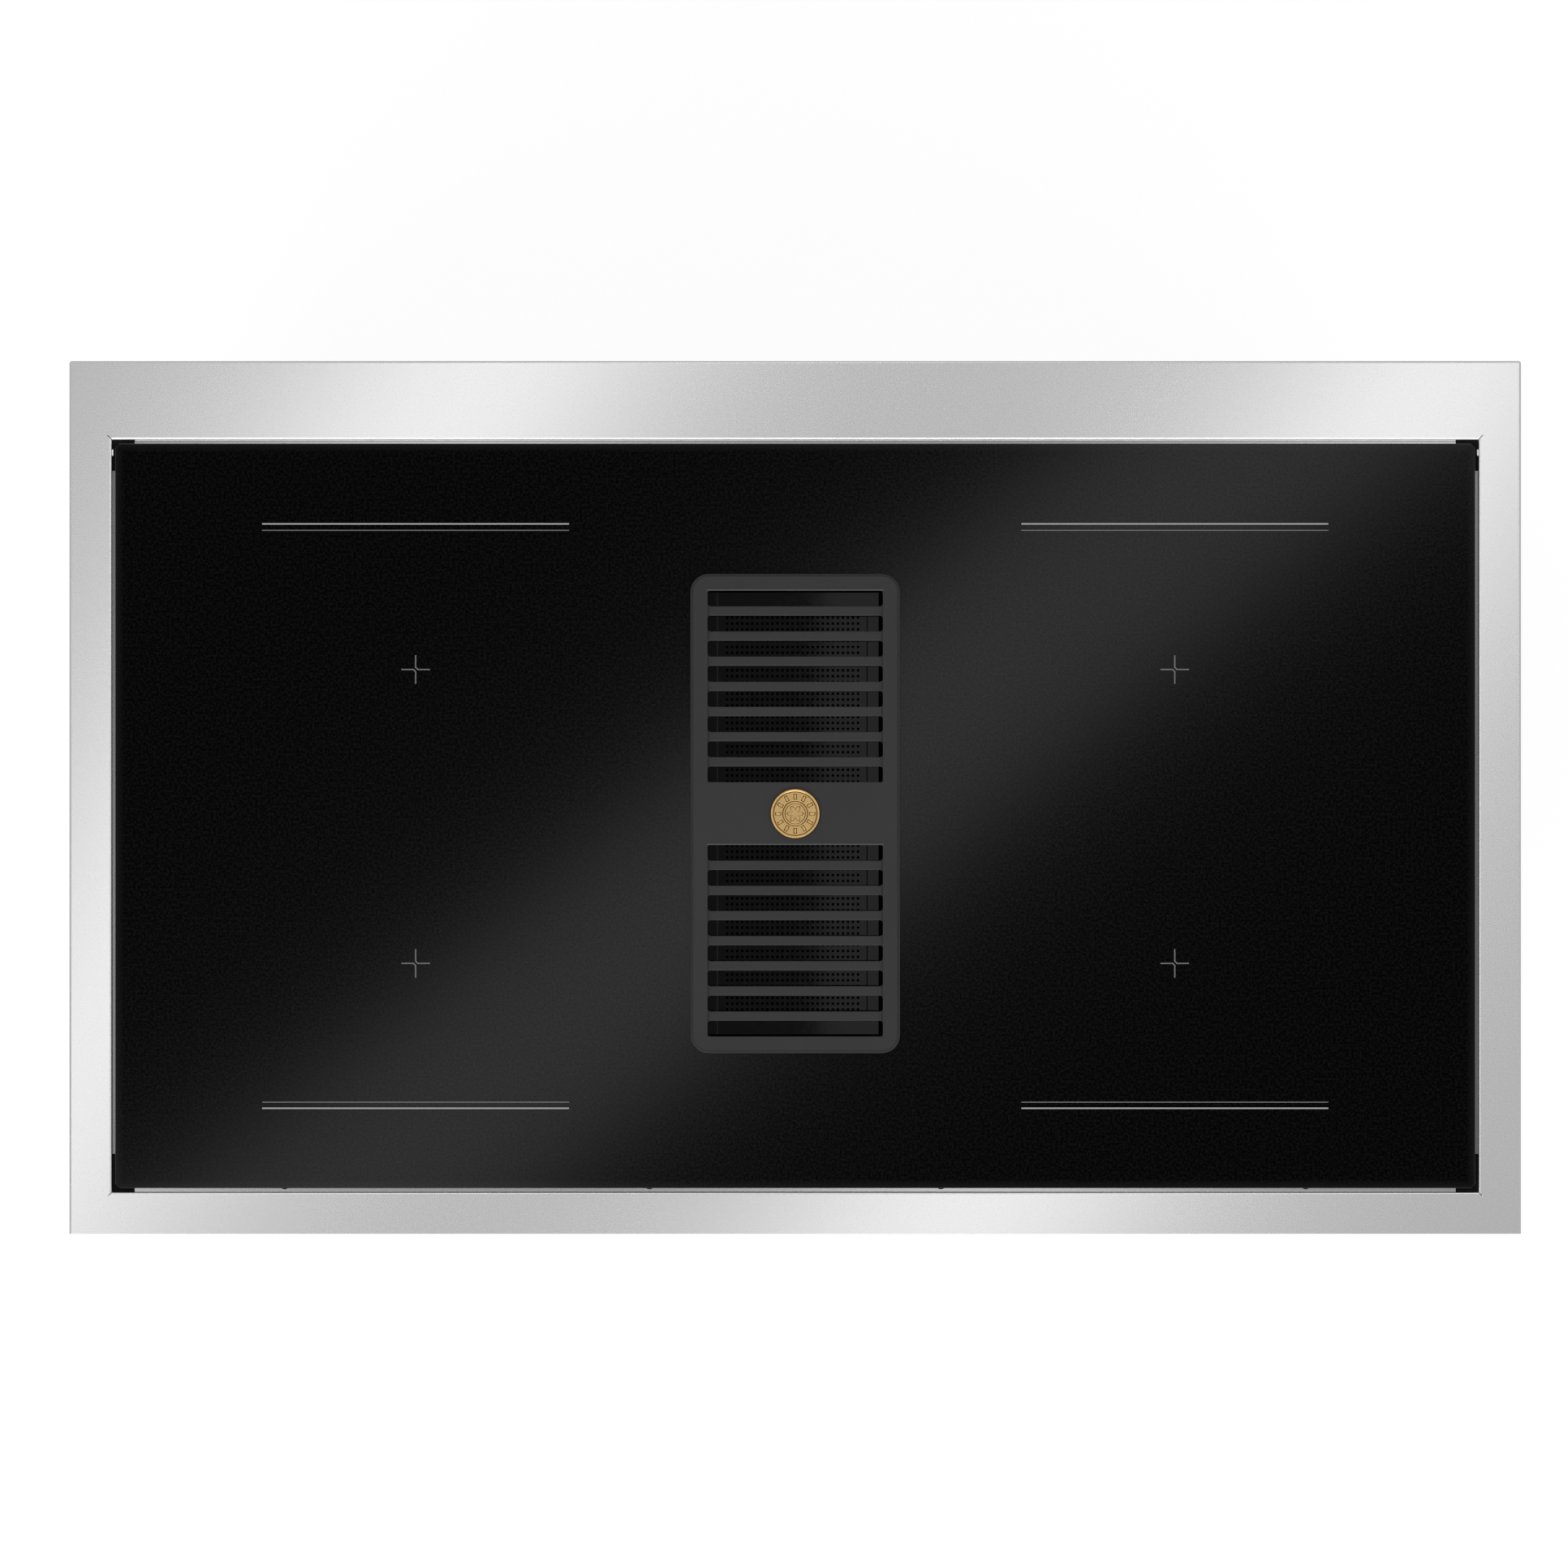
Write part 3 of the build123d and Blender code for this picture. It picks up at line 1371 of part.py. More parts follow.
for oven_name, (oven_left, oven_right, oven_x, cavity_width) in ovens.items():
    half = cavity_width / 2
    with BuildPart() as oven_cavity:
        # Front flange
        block(oven_left, oven_right, cabinet_front, cabinet_front + flange_sheet, flange_bottom, flange_top)
        # Muffle with rounded edges
        with BuildSketch(Plane.XZ.offset(-cabinet_front)):
            with Locations((oven_x, (cavity_floor + cavity_roof) / 2)):
                RectangleRounded(
                    cavity_width + 2 * cavity_sheet,
                    cavity_height + 2 * cavity_sheet,
                    cavity_corner + cavity_sheet,
                )
        extrude(amount=-cavity_depth)
        with BuildSketch(Plane.XZ.offset(-cabinet_front)):
            with Locations((oven_x, (cavity_floor + cavity_roof) / 2)):
                RectangleRounded(cavity_width, cavity_height, cavity_corner)
        extrude(amount=-cavity_depth + cavity_sheet, mode=Mode.SUBTRACT)
        # Holes in the rear wall: motor shaft, ring element, grill element, lamp
        hole_front = cavity_rear_inside - over
        hole_rear = cavity_rear + over
        rod_y(oven_x, hole_front, hole_rear, oven_fan_z, motor_shaft_hole, mode=Mode.SUBTRACT)
        for dx in (-1, 1):
            tail_x = oven_x + dx * ring_tail_pitch / 2
            tail_z = oven_fan_z + ring_diameter / 2
            rod_y(tail_x, hole_front, hole_rear, tail_z, element_hole, mode=Mode.SUBTRACT)
            grill_x = oven_x + dx * (half - grill_side_margin)
            rod_y(grill_x, hole_front, hole_rear, grill_z, element_hole, mode=Mode.SUBTRACT)
        lamp_x = oven_x + half - lamp_from_side
        rod_y(lamp_x, hole_front, hole_rear, lamp_z, lamp_neck, mode=Mode.SUBTRACT)
        # Hinge ears and pins at both lower corners of the door
        for edge_x, inward in ((oven_left, 1), (oven_right, -1)):
            ear = sorted((edge_x, edge_x + inward * hinge_ear))
            block(
                ear[0],
                ear[1],
                cabinet_front - ear_reach,
                cabinet_front,
                hinge_z - ear_height / 2 + hinge_above_bottom / 2,
                hinge_z + ear_height / 2 + hinge_above_bottom / 2,
            )
            pin_end = edge_x + inward * (hinge_ear + door_side_gap + hinge_pin_reach)
            pin = sorted((edge_x, pin_end))
            rod_x(pin[0], pin[1], hinge_y, hinge_z, hinge_pin)
    oven_cavity.part.label = f"{oven_name}_oven_cavity"
    export_step(oven_cavity.part, f"parts/{oven_name}_oven_cavity.step")

    # Door: a folded steel case with a window in front and a larger one behind
    door_left = oven_left + hinge_ear + door_side_gap
    door_right = oven_right - hinge_ear - door_side_gap
    window_x0 = door_left + window_side_margin
    window_x1 = door_right - window_side_margin
    window_z0 = door_bottom + window_bottom_margin
    window_z1 = door_top - window_top_margin
    inner_x0 = door_left + inner_window_margin
    inner_x1 = door_right - inner_window_margin
    inner_z0 = door_bottom + inner_window_bottom
    inner_z1 = door_top - inner_window_top
    with BuildPart() as oven_door:
        block(door_left, door_right, door_front, door_back, door_bottom, door_top)
        fillet(oven_door.edges().group_by(Axis.Y)[0], radius=front_edge_bend)
        block(
            door_left + front_sheet,
            door_right - front_sheet,
            door_front + front_sheet,
            door_back - front_sheet,
            door_bottom + front_sheet,
            door_top - front_sheet,
            mode=Mode.SUBTRACT,
        )
        with BuildSketch(Plane.XZ.offset(-door_front + over)):
            with Locations(((window_x0 + window_x1) / 2, (window_z0 + window_z1) / 2)):
                RectangleRounded(window_x1 - window_x0, window_z1 - window_z0, window_radius)
        extrude(amount=-2 * front_sheet - over, mode=Mode.SUBTRACT)
        with BuildSketch(Plane.XZ.offset(-door_back - over)):
            with Locations(((inner_x0 + inner_x1) / 2, (inner_z0 + inner_z1) / 2)):
                RectangleRounded(inner_x1 - inner_x0, inner_z1 - inner_z0, window_radius)
        extrude(amount=2 * front_sheet + over, mode=Mode.SUBTRACT)
        # Bores for the hinge pins
        hinge_bore = hinge_pin + 2 * shaft_clearance
        rod_x(door_left - over, door_right + over, hinge_y, hinge_z, hinge_bore, mode=Mode.SUBTRACT)
    oven_door.part.label = f"{oven_name}_oven_door"
    export_step(oven_door.part, f"parts/{oven_name}_oven_door.step")

    # Two panes: the dark outer one behind the front sheet, the inner one on the back sheet
    with BuildPart() as door_glass:
        block(
            window_x0 - pane_lap,
            window_x1 + pane_lap,
            door_front + front_sheet,
            door_front + front_sheet + pane_thickness,
            window_z0 - pane_lap,
            window_z1 + pane_lap,
        )
        block(
            inner_x0 - pane_lap,
            inner_x1 + pane_lap,
            door_back - front_sheet - pane_thickness,
            door_back - front_sheet,
            inner_z0 - pane_lap,
            inner_z1 + pane_lap,
        )
    door_glass.part.label = f"{oven_name}_door_glass"
    export_step(door_glass.part, f"parts/{oven_name}_door_glass.step")

    # Handle: a round bar on two posts
    with BuildPart() as door_handle:
        handle_z = door_top - handle_below_top
        handle_left = door_left + handle_end_margin
        handle_right = door_right - handle_end_margin
        rod_x(handle_left, handle_right, handle_y, handle_z, handle_diameter)
        fillet(door_handle.edges().filter_by(GeomType.CIRCLE), radius=handle_edge)
        for post_x in (handle_left + handle_post_inset, handle_right - handle_post_inset):
            rod_y(post_x, handle_y, door_front, handle_z, handle_post)
    door_handle.part.label = f"{oven_name}_door_handle"
    export_step(door_handle.part, f"parts/{oven_name}_door_handle.step")

    # Convection fan: a disc with bent-up blades round a hub
    with BuildPart() as oven_fan:
        fan_plane = Plane.XZ.offset(-oven_fan_back)
        with BuildSketch(fan_plane):
            with Locations((oven_x, oven_fan_z)):
                Circle(oven_fan_diameter / 2)
        extrude(amount=oven_fan_disc)
        with BuildSketch(fan_plane):
            with Locations((oven_x, oven_fan_z)):
                Circle(oven_fan_hub / 2)
        extrude(amount=oven_fan_height / 2)
        with BuildSketch(fan_plane):
            with Locations((oven_x, oven_fan_z)):
                blade_circle = (oven_fan_diameter - oven_fan_blade_depth) / 2 - oven_fan_blade
                with PolarLocations(blade_circle, oven_fan_blade_count):
                    Rectangle(oven_fan_blade_depth, oven_fan_blade)
        extrude(amount=oven_fan_height)
        rod_y(
            oven_x,
            oven_fan_back - oven_fan_height,
            oven_fan_back + over,
            oven_fan_z,
            motor_shaft + 2 * shaft_clearance,
            mode=Mode.SUBTRACT,
        )
    oven_fan.part.label = f"{oven_name}_oven_fan"
    export_step(oven_fan.part, f"parts/{oven_name}_oven_fan.step")

# Door gaskets, one ring round each oven's mouth
with BuildPart() as door_gaskets:
    for oven_left, oven_right, oven_x, cavity_width in ovens.values():
        with BuildSketch(Plane.XZ.offset(-cabinet_front)):
            with Locations((oven_x, (cavity_floor + cavity_roof) / 2)):
                gasket_inner_width = cavity_width + 2 * gasket_margin
                gasket_inner_height = cavity_height + 2 * gasket_margin
                RectangleRounded(
                    gasket_inner_width + 2 * gasket_width,
                    gasket_inner_height + 2 * gasket_width,
                    cavity_corner + gasket_width,
                )
                RectangleRounded(gasket_inner_width, gasket_inner_height, cavity_corner, mode=Mode.SUBTRACT)
        extrude(amount=gasket_height)
door_gaskets.part.label = "door_gaskets"
export_step(door_gaskets.part, "parts/door_gaskets.step")

# Side ladders: pairs of rails on two uprights that stand off the wall on short feet
ladder_y0 = cabinet_front + ladder_front
ladder_y1 = cavity_rear_inside - ladder_rear
ladder_first_z = cavity_floor + ladder_foot + ladder_rod
ladder_top = cavity_roof - ladder_roof_gap - ladder_foot
ladder_pitch = (ladder_top - ladder_pair - ladder_first_z) / (ladder_levels - 1)
with BuildPart() as oven_ladders:
    for oven_left, oven_right, oven_x, cavity_width in ovens.values():
        for side in (-1, 1):
            wall_x = oven_x + side * cavity_width / 2
            rail_x = wall_x - side * ladder_offset
            upright_x = rail_x + side * (ladder_rod - ladder_weld)
            for upright_y in (ladder_y0 + ladder_foot, ladder_y1 - ladder_foot):
                rod_z(upright_x, upright_y, cavity_floor + ladder_foot, ladder_top + ladder_foot, ladder_rod)
                for foot_z in (ladder_first_z + ladder_pitch / 2, ladder_top + ladder_foot - ladder_rod):
                    foot_span = sorted((upright_x, wall_x))
                    rod_x(foot_span[0], foot_span[1], upright_y, foot_z, ladder_rod)
            for level in range(ladder_levels):
                for rail_z in (0, ladder_pair):
                    rod_y(
                        rail_x,
                        ladder_y0,
                        ladder_y1,
                        ladder_first_z + level * ladder_pitch + rail_z,
                        ladder_rod,
                    )
oven_ladders.part.label = "oven_ladders"
export_step(oven_ladders.part, "parts/oven_ladders.step")

# Wire shelves, each lying on the lower rail of one pair
for oven_name, (oven_left, oven_right, oven_x, cavity_width) in ovens.items():
    with BuildPart() as oven_shelf:
        rail_z = ladder_first_z + shelf_level * ladder_pitch
        shelf_z = rail_z + ladder_rod / 2 + shelf_rod / 2 + seat_gap
        shelf_half = cavity_width / 2 - ladder_offset - shelf_inset
        shelf_y0 = ladder_y0 + ladder_rod
        shelf_y1 = ladder_y1
        for side in (-1, 1):
            rod_y(oven_x + side * shelf_half, shelf_y0, shelf_y1, shelf_z, shelf_rod)
        for frame_y in (shelf_y0 + shelf_rod / 2, shelf_y1 - shelf_rod / 2):
            rod_x(oven_x - shelf_half, oven_x + shelf_half, frame_y, shelf_z, shelf_rod)
        wire_count = int(2 * shelf_half / shelf_wire_pitch)
        with Locations(Location((oven_x, (shelf_y0 + shelf_y1) / 2, shelf_z), (90, 0, 0))):
            with GridLocations(2 * shelf_half / wire_count, 0, wire_count - 1, 1):
                Cylinder(shelf_wire / 2, shelf_y1 - shelf_y0 - shelf_rod)
    oven_shelf.part.label = f"{oven_name}_oven_shelf"
    export_step(oven_shelf.part, f"parts/{oven_name}_oven_shelf.step")

# Heating elements: a ring round each fan and a bent grill rod under each roof
with BuildPart() as oven_elements:
    for oven_left, oven_right, oven_x, cavity_width in ovens.values():
        with Locations(Location((oven_x, ring_y, oven_fan_z), (90, 0, 0))):
            Torus(ring_diameter / 2, element_rod / 2)
        for dx in (-1, 1):
            tail_z = oven_fan_z + ring_diameter / 2
            tail_x = oven_x + dx * ring_tail_pitch / 2
            rod_y(tail_x, ring_y, cavity_rear + grill_tail, tail_z, element_rod)
        wide = cavity_width / 2 - grill_side_margin
        narrow = cavity_width / 2 - grill_inner_margin
        front_y = cabinet_front + grill_front_margin
        middle_y = cabinet_front + grill_mid_margin
        end_y = cavity_rear + grill_tail
        with BuildLine() as grill_path:
            FilletPolyline(
                (oven_x - wide, end_y, grill_z),
                (oven_x - wide, front_y, grill_z),
                (oven_x - narrow, front_y, grill_z),
                (oven_x - narrow, middle_y, grill_z),
                (oven_x + narrow, middle_y, grill_z),
                (oven_x + narrow, front_y, grill_z),
                (oven_x + wide, front_y, grill_z),
                (oven_x + wide, end_y, grill_z),
                radius=min(grill_bend, 0.9 * narrow),
            )
        with BuildSketch(Plane((oven_x - wide, end_y, grill_z), z_dir=(0, -1, 0))):
            Circle(element_rod / 2)
        sweep(path=grill_path.line)
oven_elements.part.label = "oven_elements"
export_step(oven_elements.part, "parts/oven_elements.step")

# Fan covers: shallow pans against the rear wall, with inlet and side slots
with BuildPart() as fan_covers:
    for oven_left, oven_right, oven_x, cavity_width in ovens.values():
        cover_plane = Plane.XZ.offset(-cavity_rear_inside)
        with BuildSketch(cover_plane):
            with Locations((oven_x, oven_fan_z)):
                RectangleRounded(cover_size, cover_size, cover_corner)
        extrude(amount=cover_depth)
        with BuildSketch(cover_plane):
            with Locations((oven_x, oven_fan_z)):
                inside = cover_size - 2 * cover_sheet
                RectangleRounded(inside, inside, cover_corner - cover_sheet)
        extrude(amount=cover_depth - cover_sheet, mode=Mode.SUBTRACT)
        with BuildSketch(cover_plane):
            with Locations((oven_x, oven_fan_z)):
                with PolarLocations(cover_inlet_circle / 2, cover_inlet_count):
                    SlotOverall(cover_inlet_length / 2, cover_inlet_width)
        extrude(amount=cover_depth + over, mode=Mode.SUBTRACT)
        vent_pitch = cover_size / (cover_vent_count + 1)
        for side in (-1, 1):
            vent_x = oven_x + side * cover_size / 2
            for step in range(cover_vent_count):
                vent_z = oven_fan_z + (step - (cover_vent_count - 1) / 2) * vent_pitch
                with Locations((vent_x, cavity_rear_inside - cover_depth / 2, vent_z)):
                    Box(4 * cover_sheet, cover_vent_width, vent_pitch - cover_vent_bridge, mode=Mode.SUBTRACT)
fan_covers.part.label = "fan_covers"
export_step(fan_covers.part, "parts/fan_covers.step")

# Fan motors behind the rear walls, with their shafts through to the fans
with BuildPart() as fan_motors:
    for oven_left, oven_right, oven_x, cavity_width in ovens.values():
        rod_y(oven_x, cavity_rear, cavity_rear + motor_length, oven_fan_z, motor_diameter)
        block(
            oven_x - motor_diameter / 2 - motor_plate_rim,
            oven_x + motor_diameter / 2 + motor_plate_rim,
            cavity_rear,
            cavity_rear + motor_plate,
            oven_fan_z - motor_diameter / 2 - motor_plate_rim,
            oven_fan_z + motor_diameter / 2 + motor_plate_rim,
        )
        shaft_tip = oven_fan_back - oven_fan_height / 2 - motor_shaft_show
        rod_y(oven_x, shaft_tip, cavity_rear, oven_fan_z, motor_shaft)
fan_motors.part.label = "fan_motors"
export_step(fan_motors.part, "parts/fan_motors.step")

# Oven lamps: a domed glass on the rear wall, with its holder through it
with BuildPart() as oven_lamps:
    for oven_left, oven_right, oven_x, cavity_width in ovens.values():
        lamp_x = oven_x + cavity_width / 2 - lamp_from_side
        lamp_face = cavity_rear_inside - lamp_height
        rod_y(lamp_x, cavity_rear_inside - lamp_flange, cavity_rear_inside, lamp_z, lamp_diameter)
        rod_y(lamp_x, lamp_face, cavity_rear_inside, lamp_z, lamp_diameter - 2 * lamp_flange)
        rod_y(lamp_x, cavity_rear_inside, cavity_rear + lamp_height, lamp_z, lamp_neck - 2 * seat_gap)
    fillet(oven_lamps.edges().group_by(Axis.Y)[0], radius=lamp_edge)
oven_lamps.part.label = "oven_lamps"
export_step(oven_lamps.part, "parts/oven_lamps.step")
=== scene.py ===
import json
import math

import bmesh
import bpy
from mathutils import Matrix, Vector


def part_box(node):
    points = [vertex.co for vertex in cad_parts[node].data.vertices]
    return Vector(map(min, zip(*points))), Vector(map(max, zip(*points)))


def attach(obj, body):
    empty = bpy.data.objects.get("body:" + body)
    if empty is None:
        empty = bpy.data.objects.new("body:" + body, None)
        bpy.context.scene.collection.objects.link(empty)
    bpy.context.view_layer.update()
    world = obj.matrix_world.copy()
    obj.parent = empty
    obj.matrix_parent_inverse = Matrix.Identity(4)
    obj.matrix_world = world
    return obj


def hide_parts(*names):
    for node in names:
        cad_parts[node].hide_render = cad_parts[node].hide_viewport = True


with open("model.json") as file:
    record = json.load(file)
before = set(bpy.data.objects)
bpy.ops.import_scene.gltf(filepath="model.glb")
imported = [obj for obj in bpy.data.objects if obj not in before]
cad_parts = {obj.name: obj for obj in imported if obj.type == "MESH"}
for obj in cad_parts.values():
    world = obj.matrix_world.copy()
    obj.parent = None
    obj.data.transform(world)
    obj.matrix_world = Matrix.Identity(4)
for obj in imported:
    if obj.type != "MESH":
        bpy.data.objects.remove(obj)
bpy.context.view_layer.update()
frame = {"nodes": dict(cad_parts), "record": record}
nodes = frame["nodes"]

# Metres throughout. MM turns a size in millimetres into metres.
MM = 0.001


# Node and material helpers

def new_material(name):
    """A material with its node tree and Principled shader."""
    made = bpy.data.materials.new(name)
    made.use_nodes = True
    return made, made.node_tree, made.node_tree.nodes["Principled BSDF"]


def object_vector(tree, stretch=(1, 1, 1)):
    """Object coordinates, stretched."""
    coords = tree.nodes.new("ShaderNodeTexCoord")
    mapping = tree.nodes.new("ShaderNodeMapping")
    mapping.inputs["Scale"].default_value = stretch
    tree.links.new(coords.outputs["Object"], mapping.inputs["Vector"])
    return mapping.outputs["Vector"]


def noise(tree, scale, detail, stretch=(1, 1, 1)):
    """A noise value over the piece: scale is in repeats per metre."""
    texture = tree.nodes.new("ShaderNodeTexNoise")
    texture.inputs["Scale"].default_value = scale
    texture.inputs["Detail"].default_value = detail
    tree.links.new(object_vector(tree, stretch), texture.inputs["Vector"])
    return texture.outputs["Fac"]


def cells(tree, scale):
    """Distance to the nearest point of a scattered field, for speckles."""
    texture = tree.nodes.new("ShaderNodeTexVoronoi")
    texture.inputs["Scale"].default_value = scale
    tree.links.new(object_vector(tree), texture.inputs["Vector"])
    return texture.outputs["Distance"]


def ramp(tree, value, in_low, in_high, out_low, out_high):
    """value mapped from one range to another, clamped."""
    mapped = tree.nodes.new("ShaderNodeMapRange")
    mapped.inputs["From Min"].default_value = in_low
    mapped.inputs["From Max"].default_value = in_high
    mapped.inputs["To Min"].default_value = out_low
    mapped.inputs["To Max"].default_value = out_high
    tree.links.new(value, mapped.inputs["Value"])
    return mapped.outputs["Result"]


def mixed(tree, factor, first, second):
    """A colour between two: each is a colour or a colour output."""
    mix = tree.nodes.new("ShaderNodeMix")
    mix.data_type = "RGBA"
    tree.links.new(factor, mix.inputs["Factor"])
    for place, colour in ((6, first), (7, second)):
        if isinstance(colour, tuple):
            mix.inputs[place].default_value = (*colour, 1)
        else:
            tree.links.new(colour, mix.inputs[place])
    return mix.outputs[2]


def bump(tree, shader, height, strength, depth):
    """Relief of a given depth in metres on the shader."""
    relief = tree.nodes.new("ShaderNodeBump")
    relief.inputs["Strength"].default_value = strength
    relief.inputs["Distance"].default_value = depth
    tree.links.new(height, relief.inputs["Height"])
    tree.links.new(relief.outputs["Normal"], shader.inputs["Normal"])


def surface(tree, shader, colour, roughness):
    """A colour output and a roughness output led into the shader."""
    tree.links.new(colour, shader.inputs["Base Color"])
    tree.links.new(roughness, shader.inputs["Roughness"])


def grey(tone):
    """A colour with no hue."""
    return (tone, tone, tone)


def shade(colour, factor):
    """A colour made darker or lighter."""
    return tuple(min(1.0, part * factor) for part in colour)


def position(tree, axis):
    """One object coordinate of the shaded point."""
    split = tree.nodes.new("ShaderNodeSeparateXYZ")
    tree.links.new(object_vector(tree), split.inputs["Vector"])
    return split.outputs[axis]


def arithmetic(tree, kind, first, second=0.0):
    """One arithmetic node: each side is a number or an output."""
    made = tree.nodes.new("ShaderNodeMath")
    made.operation = kind
    for socket, value in zip(made.inputs, (first, second)):
        if isinstance(value, (int, float)):
            socket.default_value = value
        else:
            tree.links.new(value, socket)
    return made.outputs[0]


def product(tree, first, *others):
    """Masks multiplied together."""
    for other in others:
        first = arithmetic(tree, "MULTIPLY", first, other)
    return first


def inverse(tree, mask):
    """1 where a mask is 0, and 0 where it is 1."""
    return arithmetic(tree, "SUBTRACT", 1.0, mask)


def distance_to(tree, axis, place):
    """Distance to a plane across an axis."""
    return arithmetic(tree, "ABSOLUTE", arithmetic(tree, "SUBTRACT", position(tree, axis), place))


def near_line(tree, axis, place, inner, outer):
    """1 within a distance of a plane across an axis, fading to 0 at a larger one."""
    return ramp(tree, distance_to(tree, axis, place), inner, outer, 1, 0)


def rounded_distance(tree, low, high, radius):
    """Distance in X and Y to a rounded rectangle, negative inside it."""
    over = []
    squares = []
    for axis, least, most in (("X", low[0], high[0]), ("Y", low[1], high[1])):
        away = distance_to(tree, axis, (least + most) / 2)
        over.append(arithmetic(tree, "SUBTRACT", away, (most - least) / 2 - radius))
        beyond = arithmetic(tree, "MAXIMUM", over[-1], 0.0)
        squares.append(arithmetic(tree, "POWER", beyond, 2.0))
    outside = arithmetic(tree, "SQRT", arithmetic(tree, "ADD", *squares))
    inside = arithmetic(tree, "MINIMUM", arithmetic(tree, "MAXIMUM", *over), 0.0)
    return arithmetic(tree, "SUBTRACT", arithmetic(tree, "ADD", outside, inside), radius)


def satin_metal(name, colour, roughness, grain=(1, 1, 1), clouds=3.0):
    """Metal with a fine drawn grain, faint clouds of tone and a little uneven polish."""
    made, tree, shader = new_material(name)
    shader.inputs["Metallic"].default_value = 1.0
    tone = ramp(tree, noise(tree, clouds, 3), 0.3, 0.7, 0, 1)
    lines = noise(tree, 900, 3, grain)
    base = mixed(tree, tone, shade(colour, 0.975), shade(colour, 1.02))
    base = mixed(tree, ramp(tree, lines, 0.35, 0.65, 0, 0.5), base, shade(colour, 0.94))
    surface(tree, shader, base, ramp(tree, lines, 0.3, 0.7, roughness - 0.03, roughness + 0.04))
    bump(tree, shader, lines, 0.25, 0.004 * MM)
    return made


def coated(name, colour, roughness, grain_scale=1500, depth=0.02 * MM):
    """Paint or moulded plastic with a fine even texture and small changes of tone."""
    made, tree, shader = new_material(name)
    tone = ramp(tree, noise(tree, 9, 3), 0.3, 0.7, 0, 1)
    base = mixed(tree, tone, shade(colour, 0.9), shade(colour, 1.08))
    grain = noise(tree, grain_scale, 2)
    surface(tree, shader, base, ramp(tree, grain, 0.3, 0.7, roughness - 0.05, roughness + 0.07))
    bump(tree, shader, grain, 0.5, depth)
    return made


def speckled(name, colour, fleck, roughness):
    """Vitreous enamel: dark and glossy, with small pale flecks."""
    made, tree, shader = new_material(name)
    flecks = mixed(tree, ramp(tree, cells(tree, 420), 0.10, 0.16, 1, 0), colour, fleck)
    peel = noise(tree, 160, 2)
    surface(tree, shader, flecks, ramp(tree, peel, 0.3, 0.7, roughness - 0.03, roughness + 0.06))
    bump(tree, shader, peel, 0.3, 0.03 * MM)
    return made


# Finishes

# Opening of the worktop, and corners of the glass, from the CAD
OPENING_LOW = (-469.75 * MM, -271.4 * MM)
OPENING_HIGH = (469.75 * MM, 246.0 * MM)
OPENING_CORNER = 0.5 * MM
GLASS_CORNER = 3 * MM
# Rear lip, with a painted highlight: its middle beyond the opening, its painted colour and how
# metallic it is
LIP_SHIFT = 0.25 * MM
LIP_HIGHLIGHT_TONE = 0.98
LIP_HIGHLIGHT_METALLIC = 0.2
# Seam on the ledge, in from the opening's rear edge, and mitre marks at its corners
SEAM_INSET = 1.1 * MM
MITRE = 2.4 * MM
# Shades of the steel: painted shade on the bends, the ledge and the ledge at the sides; the seam
# and mitre marks
BEND_PAINTED_SHADE = 0.42
LEDGE_PAINTED_SHADE = 0.66
SIDE_PAINTED_SHADE = 0.28
SEAM_SHADE = 0.25
MITRE_SHADE = 0.2
# Grille: corner, bridge between its windows, and windows
GRILLE_CORNER = 12.7 * MM
GRILLE_BRIDGE = 43.0 * MM
WINDOW_LENGTH = 131.7 * MM
WINDOW_WIDTH = 120.5 * MM
# Left edge of the perforated panel, and drop of the badge's field below its rim
PANEL_X0 = -53.4 * MM
BADGE_DROP = 0.5 * MM


